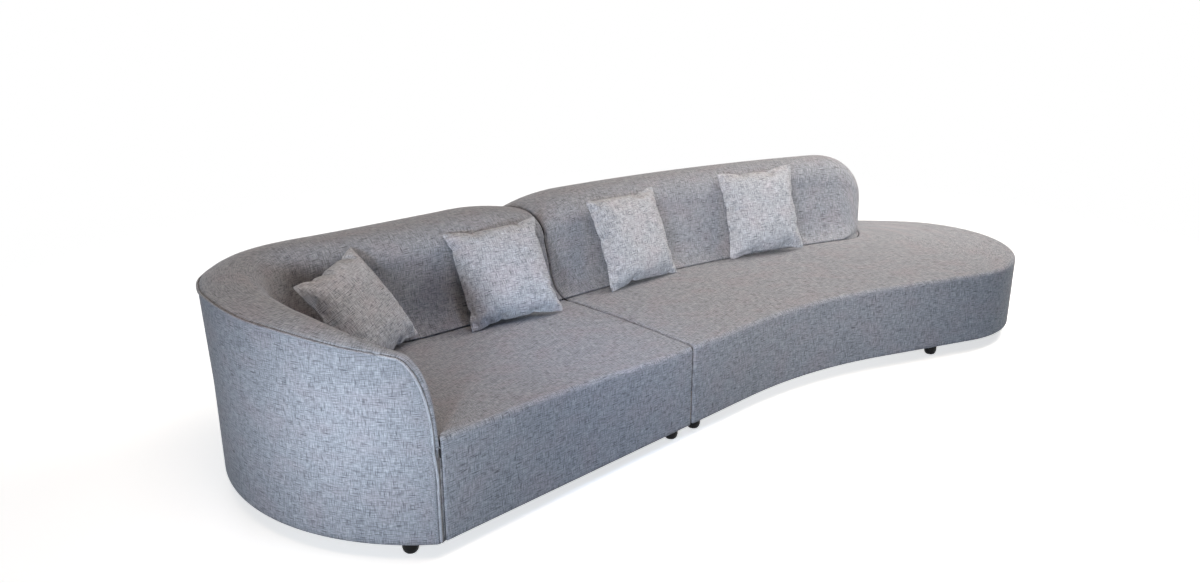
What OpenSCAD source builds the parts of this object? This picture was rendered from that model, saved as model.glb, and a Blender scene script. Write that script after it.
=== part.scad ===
// Curved sectional sofa in two modules that meet at a flat joint.
// The arm module has a tub back that wraps round its left end and drops to a thin arm front.
// The chaise module has a low back with a round end, and its seat runs on to an open round end.
// Four scatter cushions lean on the backs. Z is up, the seat front faces -Y, and the origin is on
// the floor under the middle of the sofa's box.

/* [Arm module plan] */
// Width of the straight seat front, from the joint to the arm's front corner
seat_front_w = 1232; // [1000:10:1500]
// Heading of the arm's outer wall where it leaves its front corner
arm_lead_angle = 142.5; // [138:0.5:148]
// Radius of the arm's outer wall
arm_r = 830; // [700:5:1000]
// Angle that the arm's outer wall turns through
arm_turn = 83; // [76:1:88]
// Radius of the outer wall round the back left corner
tub_r = 405; // [340:5:600]
// Angle that the outer wall turns through at that corner
tub_turn = 64; // [60:1:68]

/* [Chaise module plan] */
// Radius of the long bow of the chaise's back
bow_r = 5040; // [4000:20:8000]
// Angle of that bow
bow_turn = 21.5; // [18:0.5:24]
// Radius of the tighter bend behind the round end of the back
bend_r = 1040; // [800:10:1400]
// Angle of that bend
bend_turn = 27.5; // [24:0.5:30]
// Radius of the open end of the seat
open_end_r = 479; // [440:1:540]
// Angle of the open end
open_end_turn = 148.3; // [144:0.1:152]
// Radius of the hollow curve in the chaise's front
hollow_r = 2090; // [1600:10:2600]

/* [Heights] */
// Floor to the lower edge of the upholstery
skirt_z = 60; // [45:1:90]
// Floor to the underside of the timber base
base_z = 75; // [60:1:100]
// Height of the timber rails in the base
rail_h = 120; // [90:1:150]
// Floor to the seat's edge
seat_z = 395; // [360:1:460]
// Rise of the seat's crown above its edge
seat_crown = 9; // [4:1:20]
// Floor to the crest of the back
crest_z = 797; // [720:1:880]
// Drop from the crest to the seam along the back's outer edge
seam_drop = 37; // [20:1:60]
// Height of that seam at the arm front
arm_seam_z = 705; // [620:1:740]

/* [Back and arm upholstery] */
// Thickness of the back at the joint, from its outer wall to the seat line
back_t = 445; // [380:5:500]
// Thickness round the back left corner
tub_t = 320; // [260:5:380]
// Thickness of the arm at its front edge
arm_tip_t = 16; // [14:1:40]
// Length over which the arm swells from its front edge
arm_swell_l = 800; // [700:10:1100]
// Thickness of the chaise's back at its round end
round_end_t = 330; // [280:5:380]
// Length of the chaise's back along its outer wall
chaise_back_l = 2054; // [1850:5:2080]
// Height of the rounding at that end's upper corner
end_round_h = 240; // [150:5:300]
// Length of that rounding
end_round_l = 270; // [200:5:320]
// Height of the rounding at the arm's upper front corner
arm_round_h = 300; // [220:5:300]
// Length of that rounding
arm_round_l = 100; // [80:5:160]
// How far the arm's outer wall leans out at its seam
arm_lean = 12; // [0:1:25]
// Drop of the crest where the two backs meet
joint_drop = 48; // [10:1:60]
// Length over which each back rounds down to the joint
joint_round_l = 290; // [150:5:400]
// Width of the gap between the two modules
joint_gap = 8; // [4:1:14]
// Thickness of the foam and cover over the frame
pad_t = 30; // [20:1:40]
// Thickness of the outer panel and of the seat's border
panel_t = 12; // [8:1:16]
// Extra rise of the arm module's seat front towards the arm
seat_swell = 38; // [0:2:60]
// Radius of the seat's front edge
seat_edge_r = 14; // [8:1:24]

/* [Timber frame] */
// Thickness of the base rails, bearers and ribs
timber_t = 28; // [18:1:36]
// Width of the curved rail under the line between seat and back
seat_rail_w = 60; // [50:1:80]
// Thickness of the curved plywood rails
curved_rail_t = 24; // [18:1:30]
// Floor to the top of the back frame
back_frame_z = 655; // [600:1:670]
// Width of one webbing strap
strap_w = 70; // [50:1:80]
// Spacing of the webbing straps
strap_pitch = 120; // [100:1:200]
// Thickness of the webbing
strap_t = 3; // [2:0.5:5]
// Thickness of the dust cloth
cloth_t = 1; // [0.8:0.1:2]

/* [Feet] */
// Largest diameter of a foot
foot_d = 56; // [44:1:70]
// Distance from the outline to the middle of a foot
foot_inset = 58; // [50:1:75]
// Width of a foot block
block_w = 110; // [90:1:130]
// Thickness of a foot block
block_t = 22; // [15:1:30]
// Diameter of the stud
stud_d = 8; // [6:1:10]

/* [Joint plates] */
// Width of the tongue
tongue_w = 40; // [30:1:60]
// Thickness of the tongue
tongue_t = 4; // [3:0.5:6]
// Length of the tongue from its plate
tongue_l = 46; // [40:1:60]
// Thickness of both plates
plate_t = 2.5; // [2:0.5:4]

/* [Scatter cushions] */
// Width of a cushion from corner to corner
cushion_w = 420; // [380:5:460]
// Thickness at the middle of a cushion
cushion_t = 120; // [100:5:150]
// How far a side is drawn in between its corners
cushion_draw = 22; // [10:1:35]
// Thickness of the cover's seam edge
seam_t = 3; // [2:0.5:5]
// Thickness of a cushion cover
cover_t = 2; // [1.5:0.5:4]

/* [Hidden] */
$fn = 48;
ARM = 0;
CHAISE = 1;

// Clearances: between soft pieces, between rigid pieces, and the overrun of a cut
soft_slip = 0.5;
slip = 0.3;
overrun = 2;
// A height too small to see, which keeps a closed-up hollow from being flat
sliver = 1;
// A turn below which a leg counts as straight
straight_turn = 0.001;

// Colours
fabric_colour = [0.58, 0.57, 0.56];
cushion_colour = [0.66, 0.65, 0.64];
filling_colour = [0.93, 0.92, 0.88];
timber_colour = [0.80, 0.66, 0.46];
plywood_colour = [0.86, 0.74, 0.55];
webbing_colour = [0.25, 0.24, 0.23];
cloth_colour = [0.12, 0.12, 0.12];
foot_colour = [0.05, 0.05, 0.05];
steel_colour = [0.72, 0.73, 0.75];

// Plan lines. A pose is [x, y, heading]. A leg is [length, turn], with the turn to the right.
// Both modules' outer walls are walked clockwise, so the sofa is on the right hand.
function arc_len(r, turn) = r * turn * PI / 180;
function walk(p, run, turn) = abs(turn) < straight_turn
    ? [p[0] + run * cos(p[2]), p[1] + run * sin(p[2]), p[2]]
    : let (r = run * 180 / (PI * turn), h = p[2] - turn)
        [p[0] + r * (sin(p[2]) - sin(h)), p[1] + r * (cos(h) - cos(p[2])), h];
function pose_at(p, legs, s, i = 0) = i == len(legs) - 1 || s <= legs[i][0]
    ? walk(p, s, legs[i][1] * s / legs[i][0])
    : pose_at(walk(p, legs[i][0], legs[i][1]), legs, s - legs[i][0], i + 1);
function sum_lengths(legs, i = 0) = i == len(legs) ? 0 : legs[i][0] + sum_lengths(legs, i + 1);
function inside(p, d) = [p[0] + d * sin(p[2]), p[1] - d * cos(p[2])];
function ease(x) = x <= 0 ? 0 : x >= 1 ? 1 : x * x * (3 - 2 * x);
function mix(a, b, k) = a + (b - a) * k;
// How far a quarter round of the given run and height has dropped at distance x from its end
function rounding(x, run, h) = x >= run ? 0 : h * (1 - sqrt(1 - pow(1 - max(x, 0) / run, 2)));

// The arm module's wall, from the arm's front corner round to the joint
arm_arcs = [[arc_len(arm_r, arm_turn), arm_turn], [arc_len(tub_r, tub_turn), tub_turn]];
arm_corner = [-seat_front_w, 0, arm_lead_angle];
tub_out = pose_at(arm_corner, arm_arcs, sum_lengths(arm_arcs));
back_l = -tub_out[0] / cos(tub_out[2]);
arm_legs = concat(arm_arcs, [[back_l, 0]]);
joint_back = walk(tub_out, back_l, 0);
arm_wall_l = sum_lengths(arm_legs);

// The chaise module's wall, from the joint round the open end and back along the front
chaise_arcs = [[arc_len(bow_r, bow_turn), bow_turn], [arc_len(bend_r, bend_turn), bend_turn],
    [arc_len(open_end_r, open_end_turn), open_end_turn]];
nose = pose_at(joint_back, chaise_arcs, sum_lengths(chaise_arcs));
hollow_turn = -180 - nose[2];
nose_l = -(nose[1] + hollow_r * (1 + cos(nose[2]))) / sin(nose[2]);
hollow_leg = [arc_len(hollow_r, hollow_turn), -hollow_turn];
hollow_out = walk(walk(nose, nose_l, 0), hollow_leg[0], hollow_leg[1]);
front_l = hollow_out[0];
chaise_legs = concat(chaise_arcs, [[nose_l, 0], hollow_leg, [front_l, 0]]);
chaise_wall_l = sum_lengths(chaise_legs);

tip_swing_l = 150;
tub_mid = arm_arcs[0][0] + arm_arcs[1][0] / 2;
back_seam_z = crest_z - seam_drop;
// The arm's wall leans outwards, most round its middle
lean_fade_l = 1900;
function lean(m, s, z) = m == CHAISE ? 0 : arm_lean * ease(s / tip_swing_l)
    * (1 - ease((s - tub_mid) / (lean_fade_l - tub_mid)))
    * max(0, (z - seat_z) / (back_seam_z - seat_z));
// The box of the outline gives the origin
box_steps = 400;
outline_probe = concat(
    [for (i = [0:box_steps]) let (s = arm_wall_l * i / box_steps)
        inside(pose_at(arm_corner, arm_legs, s), -lean(ARM, s, back_seam_z))],
    [for (i = [0:box_steps]) pose_at(joint_back, chaise_legs, chaise_wall_l * i / box_steps)]);
probe_x = [for (p = outline_probe) p[0]];
probe_y = [for (p = outline_probe) p[1]];
joint_x = -(min(probe_x) + max(probe_x)) / 2;
joint_y = -(min(probe_y) + max(probe_y)) / 2;
function moved(p) = [p[0] + joint_x, p[1] + joint_y, p[2]];
function wall(m, s) = moved(m == ARM ? pose_at(arm_corner, arm_legs, s)
    : pose_at(joint_back, chaise_legs, s));
half_gap = joint_gap / 2;
joint_face = [joint_x - half_gap, joint_x + half_gap];

// Backs. The arm's back runs from its front edge to the joint, and the chaise's from the joint
// to its round end. Distances along both are measured on the outer wall.
back_end_l = [arm_wall_l - half_gap / cos(joint_back[2]), chaise_back_l];
tub_widen_l = 650;
arm_rise_l = 550;
crest_share = 0.4;
round_crest_share = 0.5;
round_end_r = round_end_t / 2;
function end_gap(m, s) = m == ARM ? round_end_r : chaise_back_l - s;
function thickness(m, s) = m == ARM
    ? arm_tip_t + (tub_t - arm_tip_t) * sin(90 * min(1, s / arm_swell_l))
        + (back_t - tub_t) * ease((s - tub_mid) / tub_widen_l)
    : mix(back_t, round_end_t, min(1, s / (chaise_back_l - round_end_r)));
// Share of its full width that the back still has near its round end
function width_share(m, s) = let (e = end_gap(m, s))
    e >= round_end_r ? 1 : sqrt(1 - pow(1 - max(e, sliver / 2) / round_end_r, 2));
function joint_shoulder(m, s) = let (x = m == ARM ? arm_wall_l - s : s)
    joint_drop * pow(max(0, 1 - x / joint_round_l), 2);
function seam_height(m, s) = m == ARM
    ? mix(arm_seam_z, back_seam_z, ease(s / arm_rise_l)) - rounding(s, arm_round_l, arm_round_h)
        - joint_shoulder(m, s)
    : crest_height(m, s) - seam_drop * width_share(m, s);
function crest_height(m, s) = m == ARM
    ? seam_height(m, s) + seam_drop * min(1, thickness(m, s) / tub_t)
    : crest_z - joint_shoulder(m, s) - rounding(end_gap(m, s), end_round_l, end_round_h);

// Cross-section of a back: shares of its thickness, and shares of the height from the seat to the
// top of its face. The face leans back and tucks in behind the seat.
roll_share = 0.3;
face_top_share = 0.73;
face_shares = [[0.6, 0.79], [0.32, 0.83], [0.12, 0.90], [0, 1]];
roll_angles = [22.5, 45, 67.5, 90];
base_top = base_z + rail_h;
deck_z = base_top + strap_t + slip;
back_foot_z = base_top + slip;
liner_d = panel_t + soft_slip;
// Where the round end's own border begins, and where the hollow for the frame ends
panel_out = chaise_back_l - round_end_r;
hollow_out_s = panel_out + 0.55 * round_end_r;
arm_post_s = 260;

function depth(m, s, share) = thickness(m, s) * (0.5 + (share - 0.5) * width_share(m, s));
function crest_share_at(m, s) = mix(round_crest_share, crest_share, width_share(m, s));
function face_top_z(m, s) = mix(crest_height(m, s), seat_z, roll_share);
function pad_t_at(m, s) = min(pad_t, (depth(m, s, face_top_share) - depth(m, s, 0)) / 4);
function lower_edge_z(m, s) = m == ARM || s < panel_out ? seam_height(m, s) - sliver
    : s < hollow_out_s ? seat_z : back_foot_z;
// The pad's foot stands on the base, and rises to the seat at the arm's thin front
tip_foot_drop = 12;
function foot_z(m, s) = m == CHAISE ? back_foot_z
    : mix(seat_z - tip_foot_drop, back_foot_z, ease(s / tip_swing_l));
function is_hollow(m, s) = m == ARM ? s >= arm_post_s : s <= hollow_out_s;
tip_pocket_h = 6;
function hollow_top_z(m, s) = is_hollow(m, s) ? back_frame_z + slip : foot_z(m, s) + tip_pocket_h;

// One row of the back's skin, as [depth, height], from its outer lower edge over the crest and
// down the face
function skin_row(m, s) = let (c = depth(m, s, crest_share_at(m, s)), o = depth(m, s, 0),
        f = depth(m, s, face_top_share), zs = seam_height(m, s), zc = crest_height(m, s),
        zf = face_top_z(m, s))
    concat([[o, lower_edge_z(m, s)], [o, zs]],
        [for (a = [30, 60, 90]) [mix(c, o, cos(a)), mix(zs, zc, sin(a))]],
        [for (a = roll_angles) [mix(c, f, sin(a)), mix(zf, zc, cos(a))]],
        [for (t = face_shares) [depth(m, s, t[1]), mix(seat_z, zf, t[0])]],
        [[depth(m, s, 1), foot_z(m, s)]]);
// The matching row on the inside of the skin, round the hollow that holds the frame
pocket_shares = [0.16, 0.33, 0.5, 0.67, 0.84];
function liner_row(m, s) = let (o = depth(m, s, 0) + liner_d * width_share(m, s), w = pad_t_at(m, s),
        f = max(depth(m, s, face_top_share) - w, o + sliver), zt = hollow_top_z(m, s),
        zl = lower_edge_z(m, s), zf = face_top_z(m, s), zb = min(zl, zt))
    concat([[o, zl], [o, mix(zl, zb, 0.5)], [o, zt]],
        [for (k = [0.2, 0.4, 0.6, 0.8, 1]) [mix(o, f, k), zt]],
        is_hollow(m, s) ? concat(
            [[mix(f, depth(m, s, face_shares[0][1]) - w, 0.3), min(zt, mix(seat_z, zf, 0.8))]],
            [for (t = face_shares) [max(depth(m, s, t[1]) - w, f), min(zt, mix(seat_z, zf, t[0]))]])
        : [for (k = pocket_shares) [mix(f, depth(m, s, 1) - w, k), mix(zt, foot_z(m, s), k)]],
        [[depth(m, s, 1) - w, foot_z(m, s)]]);

// Stations along each back, close together at its rounded end
tip_steps = 7;
arm_steps = 23;
chaise_steps = 16;
round_steps = 8;
arm_stations = concat([for (i = [0:tip_steps - 1]) arm_post_s * pow(i / tip_steps, 2)],
    [for (i = [0:arm_steps]) mix(arm_post_s, back_end_l[ARM], i / arm_steps)]);
chaise_start_s = half_gap / cos(joint_back[2]);
chaise_stations = concat([for (i = [0:chaise_steps]) mix(chaise_start_s, panel_out - sliver,
        i / chaise_steps)],
    [for (i = [0:round_steps]) panel_out + round_end_r * sin(90 * i / round_steps)]);
function back_stations(m) = m == ARM ? arm_stations : chaise_stations;
function at_joint(m, s) = m == ARM ? s >= back_end_l[ARM] - sliver : s <= chaise_start_s + sliver;
// At the arm's front the sections swing round into the plane of the seat front
function section_way(m, s) = let (h = wall(m, s)[2], k = m == ARM ? ease(s / tip_swing_l) : 1)
    [mix(1 / sin(arm_lead_angle), sin(h), k), mix(0, -cos(h), k)];
// A point of a back, with the rows at the joint laid exactly on the module's flat face
function back_point(m, s, q) = let (p = wall(m, s), w = section_way(m, s), d = q[0] - lean(m, s, q[1]))
    [at_joint(m, s) ? joint_face[m] : p[0] + d * w[0], p[1] + d * w[1], q[1]];

// A closed sheet between two grids of points that match row by row
module thick_sheet(upper, under) {
    rows = len(upper);
    cols = len(upper[0]);
    function a(i, j) = i * cols + j;
    function b(i, j) = (rows + i) * cols + j;
    points = concat([for (r = upper) for (p = r) p], [for (r = under) for (p = r) p]);
    faces = concat(
        [for (i = [0:rows - 2], j = [0:cols - 2], t = [0, 1]) t == 0
            ? [a(i, j), a(i + 1, j + 1), a(i, j + 1)] : [a(i, j), a(i + 1, j), a(i + 1, j + 1)]],
        [for (i = [0:rows - 2], j = [0:cols - 2], t = [0, 1]) t == 0
            ? [b(i, j), b(i, j + 1), b(i + 1, j + 1)] : [b(i, j), b(i + 1, j + 1), b(i + 1, j)]],
        [for (i = [0:rows - 2], t = [0:3])
            t == 0 ? [a(i, 0), b(i + 1, 0), a(i + 1, 0)]
            : t == 1 ? [a(i, 0), b(i, 0), b(i + 1, 0)]
            : t == 2 ? [a(i, cols - 1), a(i + 1, cols - 1), b(i + 1, cols - 1)]
            : [a(i, cols - 1), b(i + 1, cols - 1), b(i, cols - 1)]],
        [for (j = [0:cols - 2], t = [0:3])
            t == 0 ? [a(0, j), a(0, j + 1), b(0, j + 1)]
            : t == 1 ? [a(0, j), b(0, j + 1), b(0, j)]
            : t == 2 ? [a(rows - 1, j), b(rows - 1, j + 1), a(rows - 1, j + 1)]
            : [a(rows - 1, j), b(rows - 1, j), b(rows - 1, j + 1)]]);
    polyhedron(points, faces, convexity = 8);
}

module back_pad(m) {
    thick_sheet([for (s = back_stations(m)) [for (q = skin_row(m, s)) back_point(m, s, q)]],
        [for (s = back_stations(m)) [for (q = liner_row(m, s)) back_point(m, s, q)]]);
}

// The panel outside the back, under the seam. Past the chaise's back it drops to the seat.
function panel_top_z(m, s) = m == CHAISE && s >= panel_out - 2 * sliver ? seat_z - soft_slip
    : lower_edge_z(m, s) - soft_slip;
panel_stations = [arm_stations,
    concat([for (s = chaise_stations) if (s < panel_out) s > panel_out - 2 * sliver ? s - 2 * sliver : s],
        [for (k = [0, 0.5, 1]) mix(panel_out - 1.5 * sliver, hollow_out_s, k)])];
module outer_panel(m) {
    thick_sheet([for (s = panel_stations[m]) [for (z = [skirt_z, panel_top_z(m, s)])
            back_point(m, s, [0, z])]],
        [for (s = panel_stations[m]) [for (z = [skirt_z, panel_top_z(m, s)])
            back_point(m, s, [panel_t, z])]]);
}

// Seats. Each is a strip of rows from a front point, on the outline, to a rear point, on the back's
// face. The chaise's rows swing round the open end until they meet the outer panel.
swing_steps = 18;
line_slip = soft_slip;
open_end_s = arc_len(bow_r, bow_turn) + arc_len(bend_r, bend_turn) + arc_len(open_end_r, open_end_turn);
swing_start_s = open_end_s + nose_l * 0.4;
seat_rear_s = chaise_back_l - round_end_r;
// Front poses face left, so their inside is the seat
// The arm's rows end at the back's own stations, all but those at the arm's thin front
tip_skip = 3;
arm_rows = len(arm_stations) - 1 - tip_skip;
seat_tip_slip = 4;
function seat_rear(m, s) = back_point(m, s, [thickness(m, s) + line_slip, seat_z]);
function arm_front(k) = [mix(joint_face[ARM], seat_rear(ARM, 0)[0] + seat_tip_slip, k), joint_y, 180];
function front_s(i) = i <= chaise_steps
    ? mix(chaise_wall_l - half_gap, swing_start_s, i / chaise_steps)
    : mix(swing_start_s, hollow_out_s + soft_slip, (i - chaise_steps) / swing_steps);
// A point just outside the chaise's round back end, from its face (k = 0) round to its outer side
cap_slip = 1.5;
cap_swing = 147;
function round_rear(k) = let (a = cap_swing * k, t = thickness(CHAISE, seat_rear_s), r = t / 2 + cap_slip,
        p = inside(wall(CHAISE, seat_rear_s + r * sin(a)), t / 2 + r * cos(a)))
    [p[0], p[1]];
function seat_pair(m, i) = m == ARM
    ? [arm_front(i / arm_rows), seat_rear(ARM, arm_stations[len(arm_stations) - 1 - i])]
    : i <= chaise_steps
        ? [i == 0 ? [joint_face[CHAISE], joint_y, 180] : wall(CHAISE, front_s(i)),
            seat_rear(CHAISE, chaise_stations[i])]
        : [wall(CHAISE, front_s(i)), round_rear((i - chaise_steps) / swing_steps)];
seat_last = [arm_rows, chaise_steps + swing_steps];
// The front edge's height, which swells towards the arm
swell_share = 0.75;
function edge_z(m, i) = m == CHAISE ? seat_z : seat_z + seat_swell * ease(i / arm_rows / swell_share);
// Places across the top, as shares of the way from the rounded front edge to the rear line
across_shares = [0.12, 0.3, 0.5, 0.7, 0.88];
function seat_top_row(m, i) = let (q = seat_pair(m, i), f = q[0], r = q[1], z = edge_z(m, i),
        e = inside(f, seat_edge_r), c = inside(f, seat_edge_r * (1 - cos(45))))
    concat([[f[0], f[1], skirt_z], [f[0], f[1], z - seat_edge_r],
            [i == 0 ? joint_face[m] : c[0], c[1], z - seat_edge_r * (1 - sin(45))],
            [i == 0 ? joint_face[m] : e[0], e[1], z]],
        [for (k = across_shares) [mix(i == 0 ? joint_face[m] : e[0], r[0], k), mix(e[1], r[1], k),
            mix(z, seat_z, ease(k)) + seat_crown * 4 * k * (1 - k)]],
        [[r[0], r[1], seat_z - soft_slip], [r[0], r[1], deck_z]]);
function seat_under_row(m, i) = let (q = seat_pair(m, i), f = q[0], r = q[1], e = inside(f, panel_t),
        x = i == 0 ? joint_face[m] : e[0])
    concat([[x, e[1], skirt_z], [x, e[1], mix(skirt_z, deck_z, 0.5)], [x, e[1], deck_z]],
        [for (k = [0.04, 0.12, 0.26, 0.42, 0.58, 0.74, 0.88]) [mix(x, r[0], k), mix(e[1], r[1], k),
            deck_z]],
        [[mix(x, r[0], 0.95), mix(e[1], r[1], 0.95), deck_z]]);
// The rows run leftwards on both modules
function seat_order(m) = m == ARM ? [0:seat_last[m]] : [seat_last[m]:-1:0];
module seat_pad(m) {
    thick_sheet([for (i = seat_order(m)) seat_top_row(m, i)],
        [for (i = seat_order(m)) seat_under_row(m, i)]);
}

// Outlines for the timber. d is the distance inside the outer wall or the front, and the joint
// face stands back by side_slip and the timber beyond it.
side_slip = 3;
frame_d = panel_t + slip + soft_slip;
rim_stations = [[for (s = arm_stations) s], concat(panel_stations[CHAISE],
    [for (i = [chaise_steps + swing_steps - 1:-1:0]) front_s(i)])];
function inset_outline(m, d) = let (j = d - frame_d + side_slip, t = rim_stations[m]) m == ARM
    ? concat([[joint_face[ARM] - j, joint_y + d],
            [joint_x - seat_front_w + d * (1 + cos(arm_lead_angle)) / sin(arm_lead_angle), joint_y + d]],
        [for (s = t) if (s > d && s < back_end_l[ARM] - sliver) inside(wall(ARM, s), d)],
        [[joint_face[ARM] - j, inside(wall(ARM, back_end_l[ARM] - j), d)[1]]])
    : concat([[joint_face[CHAISE] + j, inside(wall(CHAISE, chaise_start_s + j), d)[1]]],
        [for (s = t) if (s > chaise_start_s + j && s < chaise_wall_l - half_gap - j)
            inside(wall(CHAISE, s), d)],
        [[joint_face[CHAISE] + j, joint_y + d]]);
// Clearance of a piece inside a back, whose curves it follows with other chords
chord_slip = 6;
rib_slip = 11;
// A strip along a back between two depths
function strip_stations(m, first, last) = concat([first],
    [for (s = back_stations(m)) if (s > first && s < last) s], [last]);
function back_strip(m, first, last, near, far) = let (t = strip_stations(m, first, last)) concat(
    [for (s = t) inside(wall(m, s), near(s))],
    [for (i = [len(t) - 1:-1:0]) inside(wall(m, t[i]), far(t[i]))]);
module flat_part(points, z, h) {
    translate([0, 0, z]) linear_extrude(h) polygon([for (p = points) [p[0], p[1]]]);
}

module base_rails(m) {
    difference() {
        flat_part(inset_outline(m, frame_d), base_z, rail_h);
        flat_part(inset_outline(m, frame_d + timber_t), base_z - overrun, rail_h + 2 * overrun);
        if (m == ARM) tongue_places() translate([-timber_t - overrun, 0, 0])
            slot_block(timber_t + side_slip + 3 * overrun);
    }
}

// The space that holds bearers and blocks, inside the base rails
module inside_rails(m, z, h) {
    intersection() {
        flat_part(inset_outline(m, frame_d + timber_t + slip), z, h);
        children();
    }
}
// Bearers run from front to back, as shares of the module's width
bearer_shares = [[0.3, 0.68], [0.27, 0.5, 0.71]];
module_w = [seat_front_w, max(probe_x)];
// They clear the tee nuts on the foot blocks
bearer_z = base_z + block_t + 2 * plate_t + slip;
module bearers(m) {
    inside_rails(m, base_z, rail_h - curved_rail_t - slip)
        for (k = bearer_shares[m])
            translate([joint_x + (m == ARM ? -1 : 1) * k * module_w[m] - timber_t / 2,
                joint_y - open_end_r, bearer_z])
                cube([timber_t, joint_back[1] + 2 * open_end_r, rail_h]);
}
seat_rail_span = [[arm_post_s + tub_r / 2, back_end_l[ARM] - side_slip],
    [chaise_start_s + side_slip, seat_rear_s + round_end_r / 2]];
module seat_rail(m) {
    inside_rails(m, base_top - curved_rail_t, curved_rail_t)
        flat_part(back_strip(m, seat_rail_span[m][0], seat_rail_span[m][1],
            function(s) thickness(m, s) - seat_rail_w / 2, function(s) thickness(m, s) + seat_rail_w / 2),
            base_top - curved_rail_t, curved_rail_t);
}

// Webbing straps in both directions, from the base rails to the curved seat rail
strap_count = 12;
web_rows = [arm_rows, chaise_steps + swing_steps - 5];
function seat_region(m) = concat([for (i = [0:web_rows[m]]) inside(seat_pair(m, i)[0], frame_d + slip)],
    [for (i = [web_rows[m]:-1:0]) seat_pair(m, i)[1]]);
module webbing(m) {
    intersection() {
        flat_part(seat_region(m), base_top, strap_t);
        union() {
            for (i = [0:2 * strap_count])
                translate([joint_x + (m == ARM ? -1 : 1) * (i + 0.5) * strap_pitch - strap_w / 2,
                    joint_y - open_end_r, base_top - overrun])
                    cube([strap_w, joint_back[1] + open_end_r, strap_t + 2 * overrun]);
            for (i = [0:strap_count - 1])
                translate([joint_x - (m == ARM ? strap_pitch * strap_count : 0),
                    joint_y - open_end_r + (i + 0.5) * strap_pitch, base_top - overrun])
                    cube([strap_pitch * strap_count * 2, strap_w, strap_t + 2 * overrun]);
        }
    }
}

// Ribs stand across the back between the outer panel and the foam, on the base
rib_every = 3;
rib_stations = [[for (i = [tip_steps + 1:rib_every:len(arm_stations) - 1]) arm_stations[i]],
    [for (i = [1:rib_every:chaise_steps - 1]) chaise_stations[i]]];
function rib_inner(m, s, share, z) = depth(m, s, share) - pad_t_at(m, s) - rib_slip - lean(m, s, z);
rib_top_z = back_frame_z - curved_rail_t;
module back_ribs(m) {
    for (s = rib_stations[m]) {
        p = wall(m, s);
        translate([p[0], p[1], 0]) rotate([0, 0, p[2] + 180]) rotate([90, 0, 90])
            translate([0, 0, -timber_t / 2]) linear_extrude(timber_t)
                polygon(concat([[frame_d + chord_slip, base_top], [frame_d + chord_slip, rib_top_z],
                    [rib_inner(m, s, face_top_share, rib_top_z), rib_top_z]],
                    [for (t = face_shares) let (z = mix(seat_z, face_top_z(m, s), t[0]))
                        [rib_inner(m, s, t[1], z), min(rib_top_z, z) - sliver]],
                    [[rib_inner(m, s, 1, base_top), base_top]]));
    }
}
module top_rail(m) {
    flat_part(back_strip(m, min(rib_stations[m]) - timber_t, max(rib_stations[m]) + timber_t,
        function(s) frame_d + chord_slip, function(s) rib_inner(m, s, face_top_share, back_frame_z)),
        rib_top_z, curved_rail_t);
}

// Feet, as distances along each module's wall, or along the straight front of the arm module
foot_top_z = base_z;
thread_slip = 0.15;
barrel_wall = 1.2;
block_bore_slip = 1.4;
foot_bore_r = stud_d / 2 + thread_slip;
stud_low_z = foot_top_z * 0.45;
foot_poses = [
    [wall(ARM, arm_round_l * 1.05), wall(ARM, tub_mid), wall(ARM, arm_wall_l - foot_inset - half_gap),
        [joint_x - foot_inset - half_gap, joint_y, 180]],
    [wall(CHAISE, foot_inset + half_gap), wall(CHAISE, panel_out), wall(CHAISE, open_end_s
        - arc_len(open_end_r, open_end_turn) / 2), wall(CHAISE, swing_start_s - nose_l * 0.03),
        wall(CHAISE, chaise_wall_l - foot_inset - half_gap * 4)]];
module at_feet(m) {
    for (p = foot_poses[m]) let (c = inside(p, foot_inset))
        translate([c[0], c[1], 0]) rotate([0, 0, p[2]]) children();
}
module feet(m) {
    at_feet(m) difference() {
        rotate_extrude() polygon([[0, 0], [foot_d * 0.24, 0], [foot_d * 0.36, foot_d * 0.05],
            [foot_d * 0.45, foot_d * 0.17], [foot_d * 0.5, foot_d * 0.36], [foot_d * 0.5, foot_top_z * 0.6],
            [foot_d * 0.46, foot_top_z * 0.68], [foot_d * 0.46, foot_top_z], [0, foot_top_z]]);
        translate([0, 0, stud_low_z - overrun]) cylinder(r = foot_bore_r, h = foot_top_z);
    }
}
module foot_blocks(m) {
    inside_rails(m, base_z, block_t) at_feet(m) difference() {
        translate([-block_w / 2, -block_w, base_z - overrun])
            cube([block_w, 2 * block_w, block_t + 2 * overrun]);
        cylinder(r = stud_d / 2 + block_bore_slip, h = base_z + block_t + 2 * overrun);
    }
}
module foot_studs(m) {
    at_feet(m) translate([0, 0, stud_low_z]) cylinder(d = stud_d, h = base_z + block_t - stud_low_z);
}
module tee_nuts(m) {
    at_feet(m) translate([0, 0, base_z + block_t]) difference() {
        union() {
            cylinder(d = stud_d * 2.75, h = plate_t);
            translate([0, 0, -block_t / 2]) cylinder(r = stud_d / 2 + barrel_wall, h = block_t / 2);
        }
        translate([0, 0, -block_t]) cylinder(r = foot_bore_r, h = block_t + 2 * overrun);
    }
}
module dust_cloth(m) {
    difference() {
        flat_part(inset_outline(m, frame_d), base_z - cloth_t, cloth_t);
        at_feet(m) translate([0, 0, base_z - cloth_t - overrun])
            cylinder(d = foot_d + 2 * overrun, h = cloth_t + 2 * overrun);
    }
}

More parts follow.
